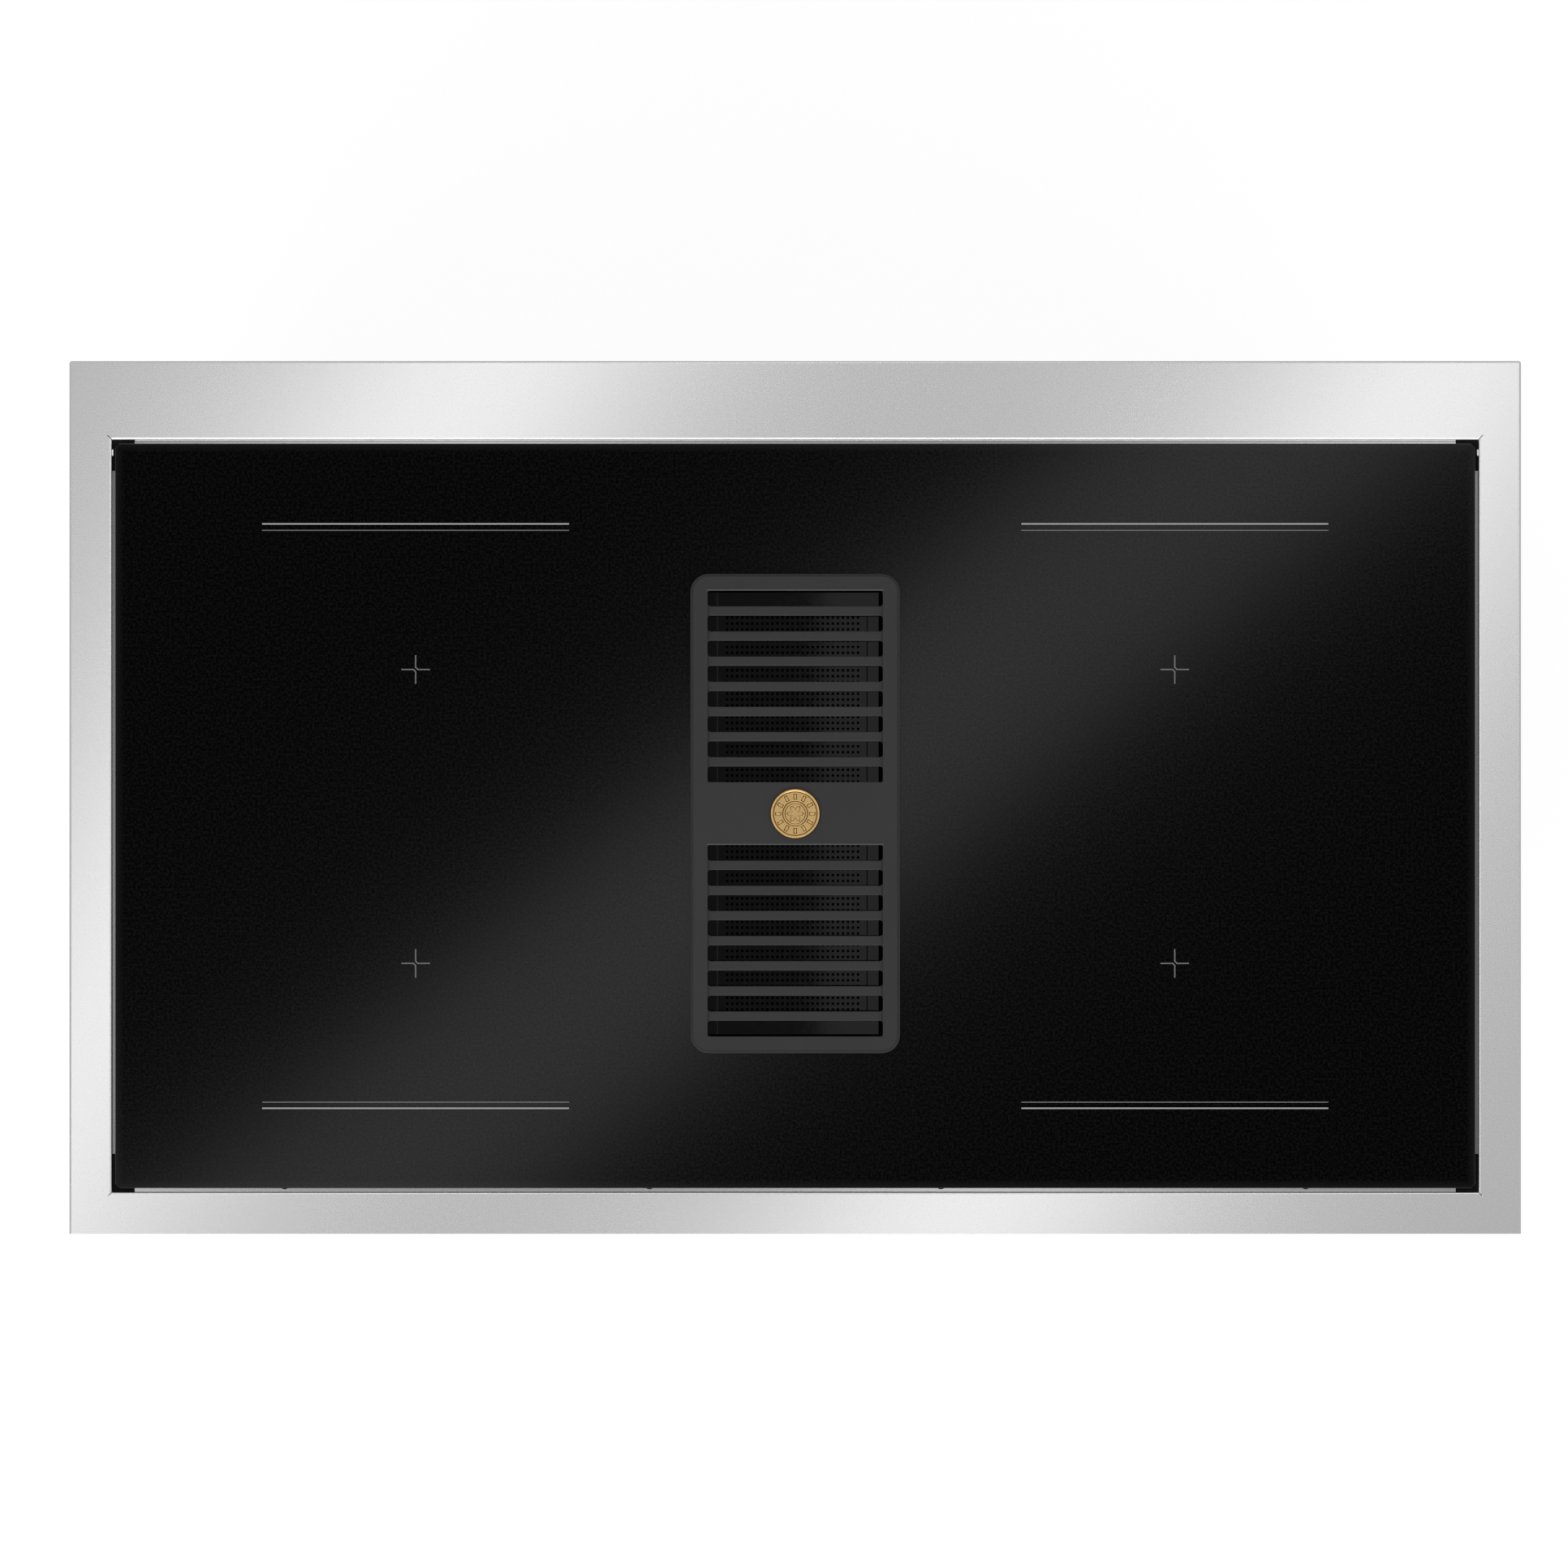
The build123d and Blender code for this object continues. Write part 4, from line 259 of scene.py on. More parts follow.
def worktop_steel():
    """Satin stainless sheet: a painted highlight on the rear lip, painted shade on the bends and
    ledge, mitred corners.
    """
    made, tree, shader = new_material("worktop_steel")
    colour = grey(0.60)
    grain = noise(tree, 1400, 2)
    clouds = ramp(tree, noise(tree, 2.2, 2), 0.35, 0.65, 0, 1)
    base = mixed(tree, clouds, shade(colour, 0.985), shade(colour, 1.015))

    # Where a point is: its height, and how far it is beyond the opening
    flat_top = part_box("worktop_frame")[1].z
    height = position(tree, "Z")
    sideways = arithmetic(tree, "ABSOLUTE", position(tree, "X"))
    middle_y = (OPENING_LOW[1] + OPENING_HIGH[1]) / 2
    lengthways = distance_to(tree, "Y", middle_y)
    beyond_x = arithmetic(tree, "SUBTRACT", sideways, OPENING_HIGH[0])
    beyond_y = arithmetic(tree, "SUBTRACT", lengthways, OPENING_HIGH[1] - middle_y)
    across = arithmetic(tree, "SUBTRACT", beyond_x, beyond_y)
    from_opening = rounded_distance(tree, OPENING_LOW, OPENING_HIGH, OPENING_CORNER)

    # The painted highlight on the rear lip ends at the mitres
    lip = near_line(tree, "Y", OPENING_HIGH[1] + LIP_SHIFT, 0.9 * MM, 1.05 * MM)
    lip = product(tree, lip, ramp(tree, across, -0.1 * MM, 0.1 * MM, 1, 0))

    # Painted shade on the bends: all that is below the flat top, apart from the lip and the outer
    # skirt
    bends = ramp(tree, height, flat_top - 1.2 * MM, flat_top - 0.05 * MM, 1, 0)
    outer = ramp(tree, from_opening, 8 * MM, 10 * MM, 0, 1)
    hanging = ramp(tree, height, flat_top - 2.6 * MM, flat_top - 1.9 * MM, 1, 0)
    skirt = product(tree, outer, hanging)
    bends = product(tree, bends, inverse(tree, lip), inverse(tree, skirt))
    base = mixed(tree, bends, base, shade(colour, BEND_PAINTED_SHADE))

    # Painted shade on the ledge under the glass, darker still at its sides; a seam along its rear
    # is darker too
    in_opening = ramp(tree, from_opening, 0.3 * MM, 0.9 * MM, 1, 0)
    low_down = ramp(tree, height, flat_top - 4.8 * MM, flat_top - 4.2 * MM, 1, 0)
    ledge = product(tree, in_opening, low_down)
    base = mixed(tree, ledge, base, shade(colour, LEDGE_PAINTED_SHADE))
    side = ramp(tree, sideways, OPENING_HIGH[0] - 5 * MM, OPENING_HIGH[0] - 4 * MM, 0, 1)
    base = mixed(tree, product(tree, ledge, side), base, shade(colour, SIDE_PAINTED_SHADE))
    seam = near_line(tree, "Y", OPENING_HIGH[1] - SEAM_INSET, 0.2 * MM, 0.35 * MM)
    base = mixed(tree, product(tree, ledge, seam), base, shade(colour, SEAM_SHADE))
    # Painted highlight: the rear lip is painted near white and made less metallic
    base = mixed(tree, lip, base, grey(LIP_HIGHLIGHT_TONE))
    tree.links.new(ramp(tree, lip, 0, 1, 1, LIP_HIGHLIGHT_METALLIC), shader.inputs["Metallic"])

    # The mitre marks run outwards from the opening's corners
    mitre = ramp(tree, arithmetic(tree, "ABSOLUTE", across), 0.2 * MM, 0.4 * MM, 1, 0)
    for near, far in ((-0.1 * MM, 0.1 * MM), (MITRE + 0.2 * MM, MITRE)):
        mitre = product(tree, mitre, ramp(tree, beyond_x, near, far, 0, 1))
    base = mixed(tree, mitre, base, shade(colour, MITRE_SHADE))
    surface(tree, shader, base, ramp(tree, grain, 0.3, 0.7, 0.24, 0.28))
    bump(tree, shader, grain, 0.15, 0.006 * MM)
    return made


def hob_black():
    """Black ceramic glass with a faint pebbled skin and a fine grain in its black."""
    made, tree, shader = new_material("ceramic_glass")
    shader.inputs["IOR"].default_value = 1.5
    low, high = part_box("hob_glass")
    speckle = ramp(tree, noise(tree, 560, 2), 0.42, 0.62, 0, 1)
    black = mixed(tree, speckle, grey(0.0001), grey(0.0042))
    edge = rounded_distance(tree, low, high, GLASS_CORNER)
    black = mixed(tree, ramp(tree, edge, -6 * MM, -0.5 * MM, 0, 1), black, grey(0.0085))
    pebble = noise(tree, 700, 2)
    surface(tree, shader, black, ramp(tree, pebble, 0.3, 0.7, 0.13, 0.20))
    bump(tree, shader, pebble, 0.2, 0.012 * MM)
    return made


def printed_enamel(name, colour):
    """Print fired on the glass or on the front, a little uneven."""
    made, tree, shader = new_material(name)
    dots = ramp(tree, noise(tree, 2500, 1), 0.3, 0.7, 0, 1)
    ink = mixed(tree, dots, shade(colour, 0.9), shade(colour, 1.1))
    surface(tree, shader, ink, ramp(tree, dots, 0, 1, 0.35, 0.5))
    return made


def brass():
    """Polished brass, brown with age in its engraving, with painted shade round its outer edge and
    down its side.
    """
    made, tree, shader = new_material("badge_brass")
    shader.inputs["Metallic"].default_value = 1.0
    low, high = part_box("grille_badge")
    patina = noise(tree, 260, 3)
    tarnish = ramp(tree, patina, 0.35, 0.65, 0, 1)
    base = mixed(tree, tarnish, (0.61, 0.415, 0.175), (0.56, 0.375, 0.15))
    # Painted shade on the outer edge of the rim
    edge = rounded_distance(tree, low, high, (high.x - low.x) / 2)
    side = ramp(tree, edge, -0.55 * MM, -0.3 * MM, 0, 1)
    base = mixed(tree, side, base, (0.26, 0.12, 0.04))
    # Dark brown below the field: patina in the engraving's hollows, and painted shade down the
    # side
    face = high.z - BADGE_DROP
    patina_and_side_shade = ramp(tree, position(tree, "Z"), face - 0.20 * MM, face - 0.05 * MM, 1, 0)
    base = mixed(tree, patina_and_side_shade, base, (0.10, 0.042, 0.012))
    surface(tree, shader, base, ramp(tree, patina, 0.3, 0.7, 0.20, 0.30))
    return made


def black_casting():
    """Matt black casting, with painted shade on its rounded rim and a painted highlight along the
    rear edge of each window.
    """
    made, tree, shader = new_material("grille_cast")
    low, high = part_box("intake_grille")
    grain = noise(tree, 1300, 2)
    clouds = ramp(tree, noise(tree, 9, 3), 0.3, 0.7, 0, 1)
    colour = (0.0365, 0.0365, 0.0370)
    base = mixed(tree, clouds, shade(colour, 0.94), shade(colour, 1.04))
    edge = rounded_distance(tree, low, high, GRILLE_CORNER)
    # Painted shade on the rounded rim
    base = mixed(tree, ramp(tree, edge, -2.3 * MM, -1.7 * MM, 0, 1), base, shade(colour, 0.5))
    middle = (low.y + high.y) / 2
    # Painted highlight along the rear edge of each window
    for rear_edge in (middle + GRILLE_BRIDGE / 2 + WINDOW_LENGTH, middle - GRILLE_BRIDGE / 2):
        window_edge_highlight = near_line(tree, "Y", rear_edge + 0.3 * MM, 0.25 * MM, 0.5 * MM)
        across = near_line(tree, "X", 0.0, WINDOW_WIDTH / 2, WINDOW_WIDTH / 2 + 0.5 * MM)
        base = mixed(tree, product(tree, window_edge_highlight, across), base, shade(colour, 3.2))
    surface(tree, shader, base, ramp(tree, grain, 0.3, 0.7, 0.50, 0.62))
    bump(tree, shader, grain, 0.5, 0.03 * MM)
    return made


def filter_enamel():
    """Glossy black enamel, with a painted highlight along the left step of the perforated panel.
    """
    made, tree, shader = new_material("filter_metal")
    mottle = ramp(tree, noise(tree, 300, 2), 0.35, 0.65, 0, 1)
    base = mixed(tree, mottle, (0.0030, 0.0030, 0.0031), (0.0060, 0.0060, 0.0061))
    # Painted highlight along the left step of the panel
    step = near_line(tree, "X", PANEL_X0 - 0.2 * MM, 0.25 * MM, 0.45 * MM)
    base = mixed(tree, step, base, (0.055, 0.055, 0.056))
    surface(tree, shader, base, ramp(tree, mottle, 0, 1, 0.05, 0.08))
    bump(tree, shader, mottle, 0.1, 0.002 * MM)
    return made


def clear_pane(name, colour, roughness, alpha):
    """Tinted glass that lets a little of what is behind it through."""
    made, tree, shader = new_material(name)
    shader.inputs["Alpha"].default_value = alpha
    smear = noise(tree, 14, 3)
    tint = mixed(tree, ramp(tree, smear, 0.3, 0.7, 0, 1), colour, shade(colour, 1.3))
    surface(tree, shader, tint, ramp(tree, smear, 0.3, 0.7, roughness, roughness + 0.04))
    return made


def litz_copper():
    """Wound copper, as uneven in tone and relief as its many fine wires."""
    made, tree, shader = new_material("copper")
    shader.inputs["Metallic"].default_value = 1.0
    wires = noise(tree, 800, 2)
    strands = ramp(tree, wires, 0.35, 0.65, 0, 1)
    base = mixed(tree, strands, (0.55, 0.24, 0.12), (0.74, 0.38, 0.22))
    surface(tree, shader, base, ramp(tree, wires, 0.3, 0.7, 0.35, 0.5))
    bump(tree, shader, wires, 0.6, 0.2 * MM)
    return made


def charcoal():
    """Black granules."""
    made, tree, shader = new_material("charcoal")
    granules = cells(tree, 330)
    base = mixed(tree, ramp(tree, granules, 0, 0.8, 0, 1), grey(0.03), grey(0.008))
    surface(tree, shader, base, ramp(tree, granules, 0, 0.8, 0.6, 0.9))
    bump(tree, shader, granules, 0.8, 0.6 * MM)
    return made


# Grain drawn along an axis
LONG_X = (0.02, 1, 1)
LONG_Y = (1, 0.02, 1)

finishes = {
    "worktop_steel": worktop_steel(),
    "ceramic_glass": hob_black(),
    "spacer": coated("spacer", grey(0.06), 0.6),
    "tray_metal": coated("tray_metal", (0.012, 0.0125, 0.0125), 0.5),
    "copper": litz_copper(),
    "carrier_plastic": coated("carrier_plastic", grey(0.06), 0.5),
    "circuit_board": coated("circuit_board", (0.02, 0.12, 0.05), 0.4, 260, 0.2 * MM),
    "fan_plastic": coated("fan_plastic", grey(0.02), 0.4),
    "grille_cast": black_casting(),
    "badge_brass": brass(),
    "filter_metal": filter_enamel(),
    "duct_plastic": coated("duct_plastic", grey(0.006), 0.5),
    "cup_plastic": coated("cup_plastic", grey(0.02), 0.45),
    "motor_steel": satin_metal("motor_steel", (0.42, 0.42, 0.43), 0.38),
    "charcoal": charcoal(),
    "front_steel": satin_metal("front_steel", (0.55, 0.55, 0.555), 0.30, LONG_X),
    "cabinet_paint": coated("cabinet_paint", (0.035, 0.036, 0.039), 0.48, 1100, 0.05 * MM),
    "zinc_sheet": satin_metal("zinc_sheet", (0.50, 0.52, 0.53), 0.42, clouds=26),
    "foot_steel": satin_metal("foot_steel", (0.5, 0.5, 0.51), 0.32),
    "terminal_plastic": coated("terminal_plastic", (0.03, 0.03, 0.031), 0.45),
    "knob_metal": satin_metal("knob_metal", (0.60, 0.60, 0.61), 0.30, LONG_Y),
    "switch_plastic": coated("switch_plastic", grey(0.12), 0.5),
    "display_black": coated("display_black", (0.004, 0.004, 0.005), 0.10, 900, 0.002 * MM),
    "button_metal": satin_metal("button_metal", (0.6, 0.6, 0.61), 0.28),
    "oven_enamel": speckled("oven_enamel", (0.010, 0.011, 0.014), (0.10, 0.11, 0.13), 0.22),
    "door_pane": clear_pane("door_pane", (0.006, 0.006, 0.007), 0.03, 0.86),
    "handle_steel": satin_metal("handle_steel", (0.64, 0.64, 0.65), 0.22, LONG_X),
    "oven_fan_steel": satin_metal("oven_fan_steel", grey(0.45), 0.34),
    "rack_chrome": satin_metal("rack_chrome", (0.72, 0.72, 0.73), 0.12),
    "element_metal": satin_metal("element_metal", (0.16, 0.13, 0.11), 0.45, clouds=20),
    "gasket_rubber": coated("gasket_rubber", grey(0.02), 0.7, 2200, 0.08 * MM),
    "lamp_glass": clear_pane("lamp_glass", (0.75, 0.73, 0.66), 0.25, 0.8),
}
for part in frame["record"]["subparts"]:
    slots = nodes[part["node"]].data.materials
    slots.clear()
    slots.append(finishes[part["material_slot"]])


# Pieces

def piece(name, mesh, slot, body, *replaced):
    """A finished piece of the scene: dressed, riding on its body, standing for CAD nodes."""
    made = bpy.data.objects.new(name, mesh)
    bpy.context.scene.collection.objects.link(made)
    made.data.materials.append(finishes[slot])
    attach(made, body)
    if replaced:
        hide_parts(*replaced)
    return made


def mesh_from(name, form):
    """A mesh from a bmesh, with its normals pointing out."""
    bmesh.ops.recalc_face_normals(form, faces=form.faces)
    made = bpy.data.meshes.new(name)
    form.to_mesh(made)
    form.free()
    return made


# Least cosine of half a bend, which keeps the mitre of a sharp one short
BEND_LEAST = 0.5


def ribbon(points, width):
    """The outline of a line of a given width along points, with mitred corners."""
    sides = ([], [])
    for place, point in enumerate(points):
        here = Vector(point)
        before = here - Vector(points[max(place - 1, 0)])
        after = Vector(points[min(place + 1, len(points) - 1)]) - here
        if before.length == 0:
            before = after
        if after.length == 0:
            after = before
        across = (before.normalized() + after.normalized()).normalized()
        reach = width / 2 / max(across.dot(after.normalized()), BEND_LEAST)
        normal = Vector((-across.y, across.x)) * reach
        sides[0].append(here + normal)
        sides[1].append(here - normal)
    return sides[0] + sides[1][::-1]


def lying(x, y, z):
    """A point of a mark on a level surface."""
    return (x, y, z)


def slab(form, outline, low, high, stand=lying):
    """A flat prism over an outline, added to a bmesh: stand turns it onto its surface."""
    rings = [[form.verts.new(stand(x, y, z)) for x, y in outline] for z in (low, high)]
    form.faces.new(rings[1])
    form.faces.new(rings[0][::-1])
    count = len(outline)
    for place in range(count):
        after = (place + 1) % count
        form.faces.new((rings[0][place], rings[0][after], rings[1][after], rings[1][place]))


# Print on the glass: a bold and a fine line beyond each pair of zones, and four crosses
ZONE_X = 260.9 * MM
CROSS_REAR = 87.9 * MM
CROSS_FRONT = -114.1 * MM
CROSS_ARM = 9.8 * MM
CROSS_BEND = 1.5 * MM
CROSS_WIDTH = 0.75 * MM
LINE_INNER_X = 155.5 * MM
LINE_OUTER_X = 366.4 * MM
BOLD_LINES = (188.0 * MM, -213.7 * MM)
FINE_LINES = (183.6 * MM, -209.5 * MM)
BOLD_WIDTH = 0.95 * MM
FINE_WIDTH = 0.55 * MM
PRINT_DEPTH = 0.05 * MM

finishes["bold_print"] = printed_enamel("bold_print", (0.46, 0.47, 0.46))
finishes["fine_print"] = printed_enamel("fine_print", (0.22, 0.23, 0.22))
glass_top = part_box("hob_glass")[1].z


def print_piece(name, finish, form, slot, body="cabinet"):
    """A print or an inlay that rides on a body, in its own finish."""
    made = piece(name, mesh_from(name, form), slot, body)
    made.data.materials[0] = finishes[finish]


for name, finish, lines, width in (
    ("zone_lines_bold", "bold_print", BOLD_LINES, BOLD_WIDTH),
    ("zone_lines_fine", "fine_print", FINE_LINES, FINE_WIDTH),
):
    form = bmesh.new()
    for side in (-1, 1):
        for y in lines:
            ends = [(side * LINE_INNER_X, y), (side * LINE_OUTER_X, y)]
            slab(form, ribbon(ends, width), glass_top, glass_top + PRINT_DEPTH)
    print_piece(name, finish, form, "ceramic_glass")
form = bmesh.new()
for side in (-1, 1):
    for y in (CROSS_REAR, CROSS_FRONT):
        upper = [(0, CROSS_ARM), (0, CROSS_BEND), (CROSS_BEND, 0), (CROSS_ARM, 0)]
        for turn in (1, -1):
            line = [(side * ZONE_X + turn * px, y + turn * py) for px, py in upper]
            slab(form, ribbon(line, CROSS_WIDTH), glass_top, glass_top + PRINT_DEPTH)
print_piece("zone_crosses", "fine_print", form, "ceramic_glass")

# Dials: ticks and numbers on the fascia round the knobs, clockwise from off at the top
fascia_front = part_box("fascia_panel")[0].y
TICK_INNER = 28.0 * MM
TICK_OUTER = 30.5 * MM
TICK_WIDTH = 0.7 * MM
NUMBER_RADIUS = 35.0 * MM
NUMBER_HEIGHT = 5.2 * MM
# Dark inlay in the groove that is each knob's pointer
POINTER_START = 5.6 * MM
POINTER_END = 18.5 * MM
POINTER_WIDTH = 2.3 * MM
POINTER_DEPTH = 0.8 * MM
POINTER_SUNK = 0.2 * MM
ZONE_STEPS = [str(step) for step in range(10)]
FAN_STEPS = [str(step) for step in range(5)]
HEAT_STEPS = ["0", "50", "100", "150", "200", "250"]
FUNCTION_STEPS = ["0"] + [""] * 7
DIALS = {
    "knob_zone_1": (ZONE_STEPS, 270),
    "knob_zone_2": (ZONE_STEPS, 270),
    "knob_zone_3": (ZONE_STEPS, 270),
    "knob_zone_4": (ZONE_STEPS, 270),
    "knob_extractor": (FAN_STEPS, 240),
    "knob_main_function": (FUNCTION_STEPS, 315),
    "knob_main_heat": (HEAT_STEPS, 270),
    "knob_side_heat": (HEAT_STEPS, 270),
}


def upright(x, y, z):
    """A point of a mark on the fascia: z is how far it stands out."""
    return (x, fascia_front - z, y)


def number(form, words, size, x, y):
    """Digits centred at a place of the fascia, added to a bmesh."""
    text = bpy.data.curves.new("digits", "FONT")
    text.body = words
    text.size = size
    text.align_x = "CENTER"
    text.align_y = "CENTER"
    holder = bpy.data.objects.new("digits", text)
    flat = bpy.data.meshes.new_from_object(holder)
    start = len(form.verts)
    form.from_mesh(flat)
    form.verts.ensure_lookup_table()
    for vert in form.verts[start:]:
        vert.co = upright(x + vert.co.x, y + vert.co.y, PRINT_DEPTH)
    bpy.data.meshes.remove(flat)
    bpy.data.objects.remove(holder)
    bpy.data.curves.remove(text)


def on_dial(centre, angle, radius):
    """A place on the fascia round a knob, clockwise from its top."""
    return (centre[0] + radius * math.sin(angle), centre[1] + radius * math.cos(angle))


finishes["dial_print"] = printed_enamel("dial_print", (0.02, 0.02, 0.021))
form = bmesh.new()
for knob, (steps, sweep) in DIALS.items():
    knob_low, knob_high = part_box(knob)
    centre = ((knob_low.x + knob_high.x) / 2, (knob_low.z + knob_high.z) / 2)
    inlay = bmesh.new()
    ends = [on_dial(centre, 0, radius) for radius in (POINTER_START, POINTER_END)]
    face = fascia_front - knob_low.y
    slab(inlay, ribbon(ends, POINTER_WIDTH), face - POINTER_DEPTH, face - POINTER_SUNK, upright)
    print_piece(f"{knob}_pointer", "dial_print", inlay, "knob_metal", knob)
    for place, words in enumerate(steps):
        angle = math.radians(sweep * place / (len(steps) - 1))
        ends = [on_dial(centre, angle, radius) for radius in (TICK_INNER, TICK_OUTER)]
        slab(form, ribbon(ends, TICK_WIDTH), 0, PRINT_DEPTH, upright)
        if words:
            number(form, words, NUMBER_HEIGHT, *on_dial(centre, angle, NUMBER_RADIUS))
print_piece("dial_marks", "dial_print", form, "front_steel")

# Clock: four digits made of bars, and a colon, on the display's face
DIGIT_WIDTH = 9.0 * MM
DIGIT_HEIGHT = 18.0 * MM
DIGIT_PITCH = 15.0 * MM
DIGIT_BAR = 1.6 * MM
# Each bar stops short of the digit's corners by this share of its width
BAR_END = 0.6
BARS = {"0": "abcdef", "1": "bc", "2": "abged"}
CLOCK = "1200"
# Middles of the digits, in pitches from the colon between the hours and the minutes
CLOCK_PLACES = (-1.7, -0.7, 0.7, 1.7)
display_low, display_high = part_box("clock_display")
display_face = display_low.y


def on_display(x, y, z):
    """A point of a mark on the display's face."""
    return (x, display_face - z, y)


def shown_digit(form, digit, x, y):
    """One digit of lit bars, x and y its middle on the display."""
    w, h = DIGIT_WIDTH / 2, DIGIT_HEIGHT / 2
    gap = DIGIT_BAR * BAR_END
    runs = {
        "a": [(-w + gap, h), (w - gap, h)],
        "b": [(w, h - gap), (w, gap)],
        "c": [(w, -gap), (w, -h + gap)],
        "d": [(-w + gap, -h), (w - gap, -h)],
        "e": [(-w, -gap), (-w, -h + gap)],
        "f": [(-w, h - gap), (-w, gap)],
        "g": [(-w + gap, 0), (w - gap, 0)],
    }
    for run in BARS[digit]:
        line = [(x + px, y + py) for px, py in runs[run]]
        slab(form, ribbon(line, DIGIT_BAR), 0, PRINT_DEPTH, on_display)


form = bmesh.new()
display_y = (display_low.z + display_high.z) / 2
for digit, place in zip(CLOCK, CLOCK_PLACES):
    shown_digit(form, digit, place * DIGIT_PITCH, display_y)
for side in (-1, 1):
    dot_y = display_y + side * DIGIT_HEIGHT / 4
    line = [(-DIGIT_BAR / 2, dot_y), (DIGIT_BAR / 2, dot_y)]
    slab(form, ribbon(line, DIGIT_BAR), 0, PRINT_DEPTH, on_display)
finishes["lit_digits"] = printed_enamel("lit_digits", (0.62, 0.72, 0.78))
print_piece("clock_digits", "lit_digits", form, "display_black")

# Pale clips in the side gaps of the glass, their heights given below its top
CLIP_X = 469.3 * MM
CLIP_Y = 237.1 * MM
CLIP_WIDTH = 1.0 * MM
CLIP_LENGTH = 4.0 * MM
CLIP_LOW = 0.9 * MM
CLIP_HIGH = 0.5 * MM
form = bmesh.new()
for side in (-1, 1):
    ends = [(side * CLIP_X, CLIP_Y - CLIP_LENGTH / 2), (side * CLIP_X, CLIP_Y + CLIP_LENGTH / 2)]
    slab(form, ribbon(ends, CLIP_WIDTH), glass_top - CLIP_LOW, glass_top - CLIP_HIGH)
finishes["pale_clip"] = coated("pale_clip", grey(0.92), 0.4)
print_piece("edge_clips", "pale_clip", form, "spacer")

# Rounded ends of the grille's slots: a fillet in each corner, let into the bars beside it
BAR_COUNT = 7
BAR_WIDTH = 6.5 * MM
BAR_RECESS = 1.23 * MM
BAR_HEIGHT = 7.0 * MM
SLOT_CORNER = 2.0 * MM
SLOT_LAP = 0.7 * MM
END_LAP = 0.3 * MM
ARC_STEPS = 8
grille_low, grille_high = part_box("intake_grille")
bar_top = grille_high.z - BAR_RECESS
slot_width = (WINDOW_LENGTH - BAR_COUNT * BAR_WIDTH) / (BAR_COUNT + 1)
corner_outline = [(-END_LAP, -SLOT_LAP), (SLOT_CORNER, -SLOT_LAP)]
for step in range(ARC_STEPS + 1):
    angle = math.pi / 2 * step / ARC_STEPS
    corner_outline.append(tuple(SLOT_CORNER * (1 - f(angle)) for f in (math.sin, math.cos)))
corner_outline.append((-END_LAP, SLOT_CORNER))
form = bmesh.new()
for window in (-1, 1):
    window_y = (grille_low.y + grille_high.y) / 2 + window * (GRILLE_BRIDGE + WINDOW_LENGTH) / 2
    for place in range(BAR_COUNT + 1):
        slot_y = window_y + (place - BAR_COUNT / 2) * (slot_width + BAR_WIDTH)
        for end in (-1, 1):
            for side in (-1, 1):
                outline = [
                    (end * (WINDOW_WIDTH / 2 - inward), slot_y + side * (slot_width / 2 - aside))
                    for inward, aside in corner_outline
                ]
                slab(form, outline, bar_top - BAR_HEIGHT, bar_top)
piece("slot_corners", mesh_from("slot_corners", form), "grille_cast", "grille")

# Grease filter: a tray with a rim, and a perforated panel set into its flange
PANEL_X1 = 49.8 * MM
PANEL_Y0 = -154.3 * MM
PANEL_Y1 = 131.9 * MM
HOLE = 1.7 * MM
COLUMN_PITCH = 3.47 * MM
ROW_PITCH = 4.03 * MM
COLUMNS = 27
ROWS = 70
PANEL_TOP = 885.8 * MM
PANEL_STEP = 0.7 * MM
PANEL_GAP = 0.6 * MM
SHEET = 0.8 * MM
RIM = 1.5 * MM


def grid_lines(low, high, pitch, count):
    """Edges of a row of holes and of the panel round them."""
    first = (low + high - (count - 1) * pitch) / 2
    lines = [low]
    for step in range(count):
        lines += [first + step * pitch - HOLE / 2, first + step * pitch + HOLE / 2]
    return lines + [high]


def perforated(form, columns, rows, low, high):
    """A sheet with a square hole in every odd cell of a grid, added to a bmesh."""
    layers = {z: [[form.verts.new((x, y, z)) for y in rows] for x in columns] for z in (low, high)}
    for i in range(len(columns) - 1):
        for j in range(len(rows) - 1):
            corners = [(i, j), (i + 1, j), (i + 1, j + 1), (i, j + 1)]
            if i % 2 and j % 2:
                for place in range(4):
                    a, b = corners[place], corners[(place + 1) % 4]
                    form.faces.new((
                        layers[high][a[0]][a[1]],
                        layers[high][b[0]][b[1]],
                        layers[low][b[0]][b[1]],
                        layers[low][a[0]][a[1]],
                    ))
            else:
                form.faces.new([layers[high][a][b] for a, b in corners])
                form.faces.new([layers[low][a][b] for a, b in corners[::-1]])


def frame_ring(form, outer, inner, low, high):
    """A flat rectangular ring between two rectangles (x0, x1, y0, y1), added to a bmesh."""
    def loop(box, z):
        x0, x1, y0, y1 = box
        return [form.verts.new(p) for p in ((x0, y0, z), (x1, y0, z), (x1, y1, z), (x0, y1, z))]
    rings = [loop(outer, low), loop(outer, high), loop(inner, high), loop(inner, low)]
    for place in range(4):
        after = (place + 1) % 4
        for step in range(4):
            this, following = rings[step], rings[(step + 1) % 4]
            form.faces.new((this[place], this[after], following[after], following[place]))


